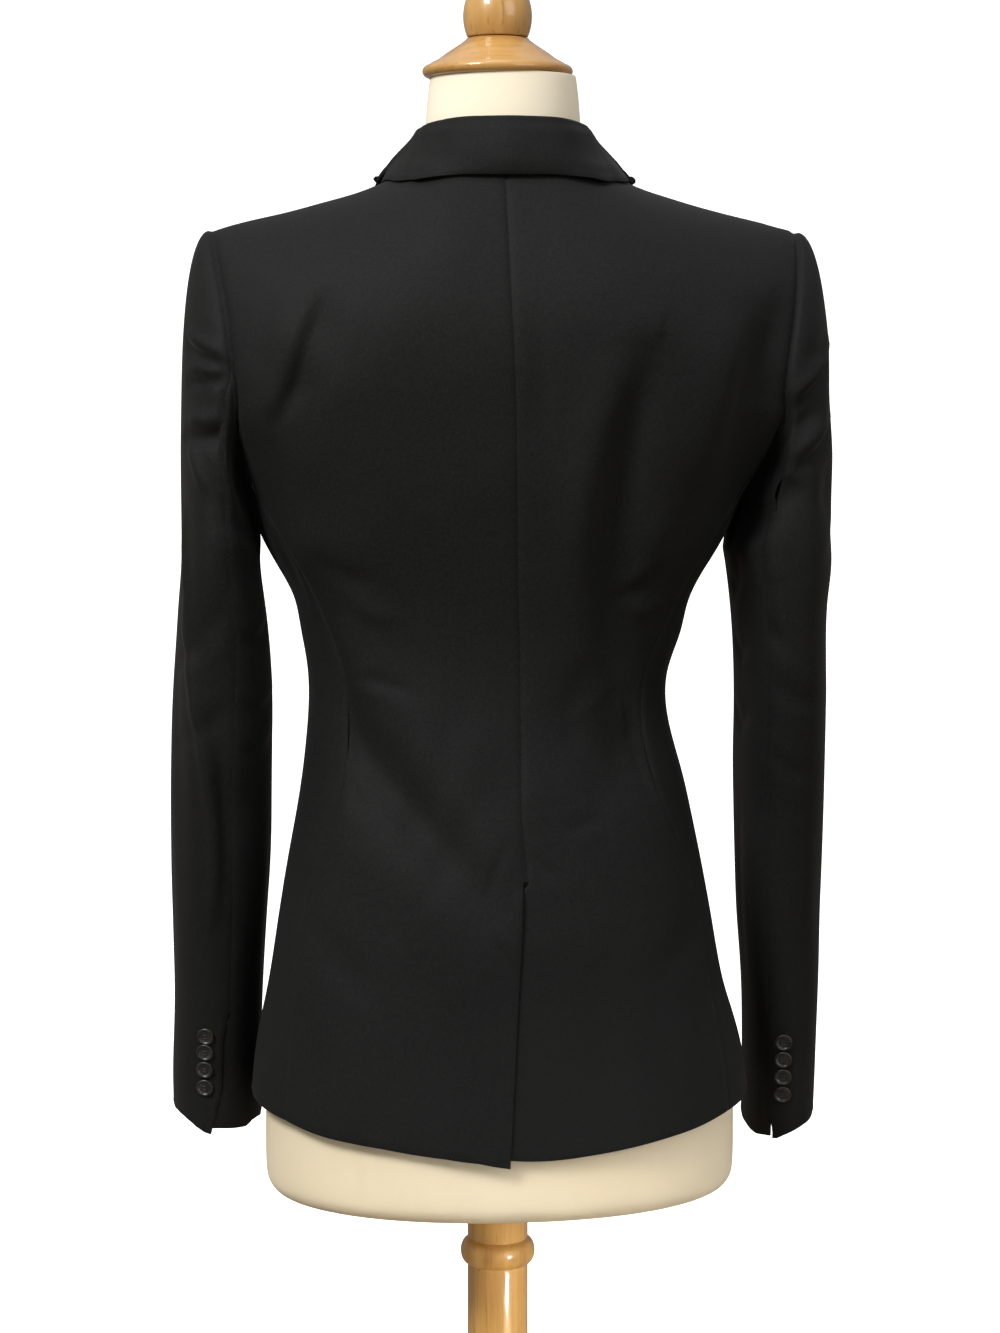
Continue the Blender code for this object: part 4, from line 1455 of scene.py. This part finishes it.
# Rows of width, depth and lip, then the line: x and height, or degrees round the arm and height.
BACK_LEFT_FOLDS = folds(
    (5.2, -3.4, 0.55, (118, 871), (129, 845), (137, 816), (149, 789)),
    (6, -1.6, 0, (152, 868), (160, 835), (166, 800)),
    (8, -1, 0, (86, 873), (94, 845), (100, 820)),
    (15, -7.2, -0.5, (136, 654), (122, 620), (106, 590), (79, 554), (52, 521), (34, 496), (22, 478)),
    (22, 2.6, 0, (128, 556), (96, 516), (62, 482)),
    (4.5, -1.2, 0, (106, 560), (99, 546), (92, 537)),
    (6, 1.6, 0, (102, 676), (90, 668), (74, 664)),
    (6.5, -1.8, 0, (128, 704), (110, 692), (88, 687)),
    (4.8, -1.2, 0.5, (98, 625), (80, 622), (62, 615)),
    (13, -2, 0, (134, 470), (112, 440), (90, 420)),
    (16, -2.4, 0, (60, 452), (50, 400), (44, 340)),
    (13, 1.6, 0, (96, 400), (102, 360), (110, 325)),
    (4, -1.2, 0, (4, 520), (12, 505), (16, 488)),
)
BACK_RIGHT_FOLDS = folds(
    (12, -6.6, 0.75, (-88, 831), (-80, 805), (-72, 780), (-66, 747), (-63, 716), (-65, 676), (-68, 646),
     (-74, 616)),
    (17, 2.4, 0, (-36, 816), (-34, 745), (-34, 680)),
    (7, -1.4, 0, (-12, 859), (-17, 822), (-18, 786)),
    (12.5, -6.4, 0.4, (-168, 856), (-158, 814), (-149, 772), (-143, 740)),
    (5.5, -1.2, 0, (-178, 872), (-172, 846), (-164, 820)),
    (11, -2.2, 0, (-50, 640), (-42, 610), (-36, 576)),
    (5, -2, 0.5, (-100, 694), (-86, 682), (-70, 676)),
    (4.5, 1.4, 0, (-106, 676), (-92, 668), (-78, 667)),
    (23, -6.4, 0, (-52, 606), (-80, 570), (-116, 552)),
    (4, -1, 0.5, (-33, 528), (-45, 530), (-58, 534)),
    (12, -2, 0, (-140, 480), (-120, 450), (-104, 430)),
    (15, -2, 0, (-52, 450), (-62, 400), (-64, 345)),
    (13, 1.8, 0, (-108, 410), (-114, 370), (-120, 330)),
    (4, -1.2, 0, (-12, 514), (-20, 503), (-30, 498)),
)
FRONT_LEFT_FOLDS = folds(
    (6, -2.2, 0.4, (138, 868), (146, 838), (153, 806), (156, 785)),
    (6.2, -2, 0.4, (14, 612), (45, 628), (90, 652)),
    (7, -1.8, -0.3, (16, 606), (50, 584), (96, 548)),
    (6, -1.2, 0, (70, 690), (88, 682), (110, 678)),
    (12, -1, 0, (80, 440), (86, 400), (100, 350)),
)
FRONT_RIGHT_FOLDS = folds(
    (6.4, -2.4, -0.4, (-140, 870), (-149, 836), (-154, 800)),
    (6, -2.2, -0.4, (-12, 613), (-40, 626), (-86, 660)),
    (7, -2, 0.3, (-14, 606), (-52, 580), (-102, 538)),
    (4.6, -1, -0.4, (-10, 610), (-46, 607), (-74, 612)),
    (6, -1.2, 0, (-66, 694), (-86, 684), (-112, 682)),
    (12, -1, 0, (-84, 440), (-92, 396), (-98, 352)),
)
SIDE_FOLDS = {
    Side.LEFT: folds(
        (7, -1.2, 0, (152, 720), (140, 690), (132, 660)),
        (12, -0.8, 0, (150, 480), (156, 430), (160, 380)),
    ),
    Side.RIGHT: folds(
        (7, -1.2, 0, (-150, 716), (-138, 688), (-130, 656)),
        (12, -0.8, 0, (-148, 486), (-154, 440), (-160, 390)),
    ),
}
COLLAR_FOLDS = folds(
    (6, -0.5, 0, (60, 962), (35, 957), (10, 957)),
    (7, -0.5, 0, (-18, 972), (-45, 966), (-70, 958)),
)
UPPER_SLEEVE_FOLDS = {
    Side.LEFT: arm_folds(
        (4.2, -3.6, 0.6, (72, 842), (90, 833), (111, 823)),
        (4, -3.4, 0.5, (76, 816), (95, 817), (112, 820)),
        (5.6, -6, 0.55, (76, 780), (92, 781), (108, 785)),
        (8.5, -3.6, 0, (94, 783), (103, 781), (112, 780)),
        (3.6, 3.4, 0, (76, 778), (82, 762), (86, 746)),
        (4, 3, 0, (58, 740), (60, 704), (66, 662)),
        (4.2, 4.4, 0, (60, 668), (71, 622), (80, 570), (86, 523), (87, 490), (85, 455)),
        (7, -2.4, 0, (74, 650), (84, 610), (93, 560), (98, 516), (99, 476)),
        (13, -2.2, 0, (40, 640), (48, 590), (54, 530), (58, 460)),
        (8, -1.8, 0, (62, 745), (40, 720), (20, 700)),
        (7, -1.6, 0.4, (95, 672), (70, 640), (44, 628)),
        (7, -1.5, -0.4, (98, 606), (74, 584), (50, 580)),
        (8, -2, 0, (-20, 640), (-60, 622), (-96, 618)),
        (7, -1.8, 0.4, (-30, 588), (-70, 575), (-104, 580)),
        (9, -1.8, 0, (-10, 790), (-50, 770), (-92, 772)),
        (11, -1, 0, (20, 520), (26, 470), (22, 410)),
    ),
    Side.RIGHT: arm_folds(
        (5, -1.4, 0, (66, 846), (80, 838), (94, 832)),
        (4.4, -4.8, 0.6, (56, 833), (69, 822.5), (80, 813.5), (90, 805), (99, 798)),
        (5.6, -2.4, 0, (82, 797), (92, 791), (102, 786)),
        (5, 2.2, 0, (64, 808), (78, 792), (88, 780), (98, 768)),
        (4.6, -4.2, 0.6, (58, 786), (70, 776), (80, 769), (91, 760)),
        (8.5, -3.6, 0, (94, 752), (101, 742), (106, 733)),
        (12, 3.4, 0, (128, 708), (114, 697), (104, 682)),
        (9, -3, 0, (66, 764), (64, 746), (68, 728)),
        (6, -2.6, 0.3, (120, 664), (108, 650), (98, 640)),
        (8, -1.4, 0, (30, 720), (58, 700), (80, 690)),
        (7, -1.3, -0.4, (110, 622), (88, 604), (60, 600)),
        (6, -1, 0, (112, 570), (94, 556), (70, 552)),
        (8, -2, 0, (-16, 648), (-58, 630), (-98, 622)),
        (7, -1.8, 0.4, (-26, 592), (-68, 580), (-102, 586)),
        (9, -1.8, 0, (-12, 786), (-52, 768), (-94, 766)),
        (11, -0.9, 0, (62, 520), (60, 470), (64, 420)),
    ),
}
UNDER_SLEEVE_FOLDS = {
    Side.LEFT: arm_folds(
        (6, -2.2, 0.4, (104, 648), (118, 646), (150, 654)),
        (5.6, -1.8, 0.4, (104, 603), (120, 598), (160, 606)),
        (6, -1.6, 0, (104, 572), (126, 570), (170, 578)),
        (19, 6.2, 0, (140, 722), (180, 722), (222, 722)),
        (11, -1, 0, (150, 520), (160, 460), (156, 400)),
    ),
    Side.RIGHT: arm_folds(
        (12, 3.4, 0, (128, 708), (114, 697), (104, 682)),
        (7, -2.6, 0.4, (136, 688), (150, 681), (176, 676)),
        (6, -1.8, 0, (128, 640), (150, 632), (186, 640)),
        (6, -1.8, 0.4, (128, 590), (152, 584), (190, 592)),
        (18, 5, 0, (162, 722), (192, 722), (224, 722)),
        (11, -1, 0, (160, 530), (166, 470), (160, 400)),
    ),
}


@dataclass
class Blazer:
    """The garment's cloth: its body, sleeves, lapels and collar."""

    wool: bpy.types.Material
    lining: bpy.types.Material

    def cloth(self) -> list[ClothPiece]:
        """Every cloth piece with its cut size and its folds.

        Returns:
            The pieces, the left side's first and the collar last.
        """
        both: list[ClothPiece] = []
        for side in Side:
            left = side is Side.LEFT
            word = side.word
            both += [
                BackPanel("back_" + word, side, (0.205, 0.65), 0.110,
                          BACK_LEFT_FOLDS if left else BACK_RIGHT_FOLDS),
                SidePanel("side_" + word, side, (0.115, 0.46), 0.0475, SIDE_FOLDS[side]),
                FrontPanel("front_" + word, side, (0.205, 0.64), 0.105,
                           FRONT_LEFT_FOLDS if left else FRONT_RIGHT_FOLDS, quads_first=left),
                Lapel("lapel_" + word, side, (0.085, 0.18 if left else 0.25),
                      0.0103 if left else 0.0129, quads_first=True),
                SleevePiece("upper_sleeve_" + word, side, (0.18, 0.63), 0.0956 if left else 0.1014,
                            UPPER_SLEEVE_FOLDS[side]),
                SleevePiece("under_sleeve_" + word, side, (0.115, 0.51), 0.0545 if left else 0.0491,
                            UNDER_SLEEVE_FOLDS[side], upper=False),
            ]
        both.append(Collar("collar", Side.LEFT, (0.075, 0.43), 0.0296, COLLAR_FOLDS))
        return both

    def build(self) -> None:
        """Makes every cloth piece."""
        for piece in self.cloth():
            piece.build(self.wool, self.wool if isinstance(piece, TurnedPiece) else self.lining)


@dataclass
class Button:
    """A round four-hole button, sewn on through its holes."""

    node: str
    radius: float
    outward: tuple[float, float, float]
    shift: tuple[float, float, float] = (0.0, 0.0, 0.0)
    slit: float = 0.0  # the buttonhole's length, where it has one
    thick: float = 0.36  # as shares of the radius: the button's thickness,
    ring: float = 0.25  # its holes' distance from the middle
    bore: float = 0.105  # and their radius

    def place(self) -> Matrix:
        """Where the solid lies, as the middle of its back and the way it faces.

        Returns:
            The turn and move that take a button from the origin to there.
        """
        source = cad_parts[self.node]
        points = points_of(source)
        points = np.unique(np.round(points, 6), axis=0)
        middle = points.mean(axis=0)
        _, _, ways = np.linalg.svd(points - middle)
        up = ways[2]
        if up @ np.array(self.outward) < 0:
            up = -up
        low = ((points - middle) @ up).min()
        foot = middle + up * low + np.array(self.shift)
        turn = Vector(up).to_track_quat("Z", "Y").to_matrix().to_4x4()
        return Matrix.Translation(Vector(foot)) @ turn

    def disc(self) -> bpy.types.Object:
        """The turned button: a thick lip round a dished middle.

        Returns:
            The drilled button, lying at the origin.
        """
        r = self.radius
        thick = r * self.thick
        profile = [(0.0, thick * 0.58), (r * 0.52, thick * 0.56), (r * 0.64, thick * 0.60)]
        profile += [(r * 0.72, thick * 0.80), (r * 0.79, thick * 0.97), (r * 0.86, thick)]
        profile += [(r * 0.94, thick * 0.90), (r * 0.99, thick * 0.66), (r, thick * 0.48)]
        profile += [(r * 0.97, thick * 0.20), (r * 0.90, thick * 0.02), (r * 0.80, 0.0), (0.0, 0.0)]
        obj = lathe(self.node + "_disc", profile, 48)
        for turn in (45, 135, 225, 315):
            angle = math.radians(turn)
            bpy.ops.mesh.primitive_cylinder_add(
                vertices=16,
                radius=r * self.bore,
                depth=r,
                location=(r * self.ring * math.cos(angle), r * self.ring * math.sin(angle), 0.0),
            )
            drill = bpy.context.active_object
            add_modifier(obj, "BOOLEAN", object=drill, operation="DIFFERENCE", solver="EXACT")
            bpy.data.objects.remove(drill)
        return obj

    def stitches(self) -> bpy.types.Object:
        """Strands of thread between the holes, in two pairs side by side.

        Returns:
            The strands, lying at the origin.
        """
        r = self.radius
        bpy.ops.mesh.primitive_torus_add(
            major_radius=r * 0.19, minor_radius=r * 0.040, major_segments=28, minor_segments=10
        )
        obj = bpy.context.active_object
        with editing(obj):
            bpy.ops.mesh.select_all(action="SELECT")
            bpy.ops.transform.rotate(value=math.pi / 2, orient_axis="X", center_override=(0, 0, 0))
            bpy.ops.transform.resize(value=(1.0, 1.0, 0.62), center_override=(0, 0, 0))
            bpy.ops.transform.translate(value=(0.0, -r * 0.215, r * self.thick * 0.52))
            for step in (r * 0.062, r * 0.305, r * 0.062):
                bpy.ops.mesh.duplicate()
                bpy.ops.transform.translate(value=(0.0, step, 0.0))
                bpy.ops.transform.rotate(value=0.05, orient_axis="Z", center_override=(0, step, 0))
        obj.name = obj.data.name = self.node + "_thread"
        return obj

    def buttonhole(self) -> bpy.types.Object:
        """The overcast edge of the slit that the button comes through, with a bar at its end.

        Returns:
            The edge and bar, lying at the origin beside the button.
        """
        bpy.ops.mesh.primitive_torus_add(
            major_radius=0.0016, minor_radius=0.0005, major_segments=32, minor_segments=10
        )
        obj = bpy.context.active_object
        way = -1.0 if self.place()[0][0] > 0 else 1.0
        pick_vertices(obj, lambda p: p[:, 0] * way > 0.0)
        with editing_edges(obj):
            bpy.ops.transform.translate(value=(way * self.slit, 0.0, 0.0))
        with editing(obj):
            bpy.ops.mesh.select_all(action="DESELECT")
            bpy.ops.mesh.primitive_uv_sphere_add(
                segments=16, ring_count=8, radius=0.0007, location=(way * (self.slit + 0.0016), 0.0, 0.0)
            )
            bpy.ops.transform.resize(value=(1.0, 3.2, 1.0), center_override=(way * self.slit, 0.0, 0.0))
        obj.name = obj.data.name = self.node + "_hole"
        return obj

    def build(self, plastic: bpy.types.Material, thread: bpy.types.Material) -> bpy.types.Object:
        """Makes the button in its solid's place.

        Args:
            plastic: The button's material.
            thread: The material of what sews it on.

        Returns:
            The sewn button.
        """
        disc, strands = self.disc(), self.stitches()
        coat(disc, plastic)
        sewing = [strands, self.buttonhole()] if self.slit else [strands]
        for piece in sewing:
            coat(piece, thread)
        only(disc, *sewing)
        bpy.ops.object.join()
        disc.name = disc.data.name = "sewn_" + self.node
        disc.matrix_world = self.place()
        dress(disc, self.node, 50.0)
        return disc


CUFF_BUTTON_SHIFT = {
    Side.LEFT: ((0.0, 0.0009, 0.0055), (0.0, 0.0009, 0.0067), (0.0, 0.0009, 0.0070), (0.0, 0.0009, 0.0068)),
    Side.RIGHT: ((0.0014, -0.0003, -0.0022),) * 4,
}


def lathe(name: str, profile: list[tuple[float, float]], steps: int) -> bpy.types.Object:
    """Turns a profile round the vertical axis.

    Args:
        name: The new object's name.
        profile: Radius and height along it, from the axis at the top to the axis below.
        steps: How many faces go round.

    Returns:
        The turned piece, closed, with its faces outwards.
    """
    bpy.ops.mesh.primitive_plane_add(size=0.01, location=(0, 0, 0))
    obj = bpy.context.active_object
    obj.name = obj.data.name = name
    with editing(obj):
        bpy.ops.mesh.select_all(action="SELECT")
        bpy.ops.mesh.merge(type="CENTER")
        bpy.ops.transform.translate(value=(profile[0][0], 0.0, profile[0][1]))
        for (r0, z0), (r1, z1) in zip(profile, profile[1:]):
            bpy.ops.mesh.extrude_region_move(TRANSFORM_OT_translate={"value": (r1 - r0, 0.0, z1 - z0)})
        bpy.ops.mesh.select_all(action="SELECT")
        bpy.ops.mesh.spin(steps=steps, angle=2 * math.pi, center=(0, 0, 0), axis=(0, 0, 1))
        bpy.ops.mesh.select_all(action="SELECT")
        bpy.ops.mesh.remove_doubles(threshold=SAME * 5)
        bpy.ops.mesh.normals_make_consistent(inside=False)
    return obj


def arc(
    middle: tuple[float, float], radii: tuple[float, float], start: float, end: float, count: int
) -> list[tuple[float, float]]:
    """Points of an elliptic arc in a turned profile.

    Args:
        middle: Radius and height of its centre.
        radii: Its size outwards and upwards.
        start: Where it begins, in degrees from the outside.
        end: Where it ends.
        count: How many steps it has.

    Returns:
        Radius and height of each point.
    """
    turns = [math.radians(start + (end - start) * i / count) for i in range(count + 1)]
    return [(middle[0] + radii[0] * math.cos(t), middle[1] + radii[1] * math.sin(t)) for t in turns]


@dataclass
class Stand:
    """The turned wood: neck cap, finial, pole and base."""

    wood: bpy.types.Material
    level_wood: bpy.types.Material
    neck_z: float = 1.0153
    torso_z: float = 0.2677
    foot: float = 0.0260
    aside: float = 0.0016
    sides: int = 96

    def cap(self) -> list[tuple[float, float]]:
        """A low dome over the neck, with a thick rounded lip.

        Returns:
            Its profile.
        """
        top = self.neck_z
        dome = [(0.0, top + 0.0262), (0.0185, top + 0.0262), (0.0205, top + 0.0256), (0.0218, top + 0.0242)]
        dome += [(0.0242, top + 0.0224), (0.0290, top + 0.0192), (0.0342, top + 0.0158)]
        dome += [(0.0390, top + 0.0122), (0.0440, top + 0.0096), (0.0455, top + 0.0086)]
        return dome + arc((0.0450, top + 0.0042), (0.0048, 0.0042), 64, -84, 12) + [(0.0440, top), (0.0, top)]

    def ball(self) -> list[tuple[float, float]]:
        """A ball on a short foot.

        Returns:
            Its profile.
        """
        low = self.neck_z + 0.0265
        top = arc((0.0, low + 0.0135), (0.0228, 0.0280), 90, -26, 26)
        return top + [(0.0202, low + 0.0004), (0.0196, low), (0.0, low)]

    def shaft(self) -> list[tuple[float, float]]:
        """The pole, with one bead near its top.

        Returns:
            Its profile.
        """
        high = self.torso_z
        line = [(0.0, high), (0.0196, high), (0.0207, high - 0.0012), (0.0207, 0.2320), (0.0200, 0.2296)]
        line += arc((0.0205, 0.2205), (0.0050, 0.0085), 76, -76, 18)
        line += [(0.0200, 0.2114), (0.0207, 0.2090)]
        line += [(0.0207, 0.15), (0.0207, 0.09), (0.0207, self.foot + 0.0003), (0.0, self.foot + 0.0003)]
        return line

    def plate(self) -> list[tuple[float, float]]:
        """The round base, with a raised collar and a rolled edge.

        Returns:
            Its profile.
        """
        top = [(0.0, self.foot), (0.028, self.foot), (0.030, self.foot - 0.0004), (0.0325, self.foot - 0.0016)]
        top += [(0.036, 0.0225), (0.060, 0.0214), (0.090, 0.0207), (0.120, 0.0190), (0.133, 0.0189)]
        return top + arc((0.135, 0.0095), (0.0100, 0.0095), 84, -90, 14) + [(0.0, 0.0)]

    def build(self) -> None:
        """Makes the four turned pieces in place of their solids."""
        pieces = {"neck_cap": self.cap, "finial": self.ball, "pole": self.shaft, "base": self.plate}
        for node, profile in pieces.items():
            obj = lathe("turned_" + node, profile(), self.sides)
            coat(obj, self.wood if node in ("pole", "finial") else self.level_wood)
            with editing(obj):
                bpy.ops.mesh.select_all(action="SELECT")
                bpy.ops.transform.translate(value=(self.aside, 0.0, 0.0))
            dress(obj, node, 42.0)


@dataclass
class DressForm:
    """The hard torso under the blazer, covered in jersey."""

    jersey: bpy.types.Material
    seams: tuple[Fold, ...] = folds(
        (1.1, -0.6, 0, (122, 345), (120, 315), (117, 268)),
        (1.1, -0.6, 0, (-94, 345), (-93, 315), (-90, 268)),
    )

    def build(self) -> bpy.types.Object:
        """Refines the torso's solid.

        Returns:
            The covered torso.
        """
        obj = own_copy("form_torso", "jersey_torso")
        low, high = points_of(obj)[:, 2].min(), points_of(obj)[:, 2].max()
        for level in (low, high):
            pick_vertices(obj, lambda p, level=level: np.abs(p[:, 2] - level) < SAME * 20)
            with editing_edges(obj, FACES):
                bpy.ops.mesh.delete(type="ONLY_FACE")
        to_quads(obj, 2.0)
        refine(obj, 3)
        self.close_ends(obj, low, high)
        points = points_of(obj)
        behind = points[:, 1] > 0
        lift = sum(seam.height(points[:, [0, 2]]) for seam in self.seams) * behind
        put_points(obj, points + normals_of(obj) * lift[:, None])
        coat(obj, self.jersey)
        dress(obj, "form_torso", 60.0)
        return obj

    def close_ends(self, obj: bpy.types.Object, low: float, high: float) -> None:
        """Fills the open ends with inset faces.

        Args:
            obj: The torso's net.
            low: The height of its lower end.
            high: The height of its upper end.
        """
        for level in (low, high):
            points = points_of(obj)
            rim = np.zeros(len(points), bool)
            rim[np.unique(border_edges(obj))] = True
            pick(obj, rim & (np.abs(points[:, 2] - level) < 0.003))
            with editing_edges(obj):
                bpy.ops.mesh.edge_face_add()
                bpy.ops.mesh.inset(thickness=0.004)
                bpy.ops.mesh.inset(thickness=0.012)


@dataclass
class Studio:
    """A white seamless ground, soft lights and the camera."""

    paper: bpy.types.Material
    film: float = 36.0  # mm
    tall: float = 1333.0  # the frame's height in pixels, which the next two are in too
    focal: float = 2980.0
    tilt: float = 316.5  # how far the level lies above the frame's middle
    turn: float = 5.0  # degrees

    def ground(self) -> None:
        """A floor that curves up behind the stand."""
        bpy.ops.mesh.primitive_plane_add(size=1.0, location=(0, 0, 0))
        obj = bpy.context.active_object
        obj.name = obj.data.name = "seamless_paper"
        with editing(obj):
            bpy.ops.mesh.select_all(action="SELECT")
            bpy.ops.transform.resize(value=(7.0, 6.0, 1.0), center_override=(0, 0, 0))
            bpy.ops.transform.translate(value=(0.0, 0.6, 0.0))
        pick_vertices(obj, lambda p: p[:, 1] < 0)
        with editing_edges(obj):
            for step in ((0.0, -1.2, 0.35), (0.0, -0.5, 0.9), (0.0, 0.0, 3.2)):
                bpy.ops.mesh.extrude_region_move(TRANSFORM_OT_translate={"value": step})
        add_modifier(obj, "BEVEL", width=0.5, segments=10, limit_method="ANGLE", angle_limit=0.1)
        coat(obj, self.paper)
        only(obj)
        bpy.ops.object.shade_smooth_by_angle(angle=math.radians(60.0))
        bpy.ops.object.transform_apply(location=True, rotation=True, scale=True)
        obj.visible_diffuse = obj.visible_glossy = False

    def lamp(
        self, name: str, spot: tuple[float, float, float], aim: tuple[float, float, float], size: float,
        watts: float, spread: float = 180.0,
    ) -> None:
        """One square soft light.

        Args:
            name: Its name.
            spot: Where it stands.
            aim: What it points at.
            size: Its side.
            watts: Its power.
            spread: How wide its beam is, in degrees.
        """
        data = bpy.data.lights.new(name, "AREA")
        data.shape, data.size, data.energy, data.spread = "SQUARE", size, watts, math.radians(spread)
        obj = bpy.data.objects.new(name, data)
        bpy.context.scene.collection.objects.link(obj)
        obj.location = spot
        obj.rotation_euler = (Vector(aim) - Vector(spot)).to_track_quat("-Z", "Y").to_euler()

    def sky(self) -> None:
        """A white room, brightest overhead, over a warm dim floor."""
        world = bpy.data.worlds.new("white_room")
        bpy.context.scene.world = world
        world.use_nodes = True
        tree = world.node_tree
        place = tree.nodes.new("ShaderNodeTexCoord")
        split = tree.nodes.new("ShaderNodeSeparateXYZ")
        tree.links.new(place.outputs["Generated"], split.inputs["Vector"])
        lift = tree.nodes.new("ShaderNodeMapRange")
        tree.links.new(split.outputs["Z"], lift.inputs["Value"])
        lift.inputs["From Min"].default_value = -1.0
        ramp = tree.nodes.new("ShaderNodeValToRGB")
        tree.links.new(lift.outputs["Result"], ramp.inputs["Fac"])
        bar = ramp.color_ramp.elements
        bar[0].position, bar[0].color = 0.30, (0.26, 0.225, 0.180, 1.0)
        bar[1].position, bar[1].color = 1.00, (0.80, 0.80, 0.82, 1.0)
        middle = bar.new(0.55)
        middle.color = (0.31, 0.305, 0.295, 1.0)
        tree.links.new(ramp.outputs["Color"], tree.nodes["Background"].inputs["Color"])

    def camera(self) -> None:
        """The camera, behind the garment at chest height and looking a little down."""
        data = bpy.data.cameras.new("camera")
        data.sensor_fit, data.sensor_width, data.sensor_height = "VERTICAL", self.film, self.film
        data.lens = self.focal * self.film / self.tall
        obj = bpy.data.objects.new("camera", data)
        bpy.context.scene.collection.objects.link(obj)
        obj.location = (0.1743, 1.9924, 0.8366)
        down = math.atan(self.tilt / self.focal)
        obj.rotation_euler = (math.pi / 2 - down, 0.0, math.pi - math.radians(self.turn))
        bpy.context.scene.camera = obj

    def build(self) -> None:
        """Sets up ground, lights and camera."""
        self.ground()
        self.sky()
        self.lamp("key_left", (2.0, 2.0, 3.0), (0.0, 0.0, 0.55), 1.0, 142.0)
        self.lamp("fill_right", (-2.0, 2.6, 2.0), (0.0, 0.0, 0.55), 1.8, 30.0)
        self.lamp("low_right", (-0.9, 1.5, 0.03), (0.0, 0.0, 0.13), 0.3, 0.30, 18.0)
        self.lamp("top", (0.1, 0.6, 3.2), (0.0, 0.0, 0.7), 1.0, 10.0)
        view = bpy.context.scene.view_settings
        view.view_transform, view.look = "Standard", "None"
        self.camera()


def main() -> None:
    """Dresses the model and lights it."""
    logging.basicConfig(level=logging.INFO, format="%(message)s")
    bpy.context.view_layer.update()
    wool, lining = Worsted().build(), Lining().build()
    Blazer(wool, lining).build()
    plastic, thread = ButtonPlastic().build(), SewingThread().build()
    for side in Side:
        for number in range(1, 5):
            node = f"cuff_button_{side.word}_{number}"
            shift = CUFF_BUTTON_SHIFT[side][number - 1]
            Button(node, 0.0060, (side.sign * 0.2, 1.0, 0.0), shift).build(plastic, thread)
    Button("front_button", 0.0105, (0.0, -1.0, 0.0), slit=0.0190).build(plastic, thread)
    DressForm(Jersey().build()).build()
    Stand(VarnishedWood().build(), VarnishedWood("level_wood", lying=True).build()).build()
    Studio(Paper().build()).build()


if __name__ == "__main__":
    main()
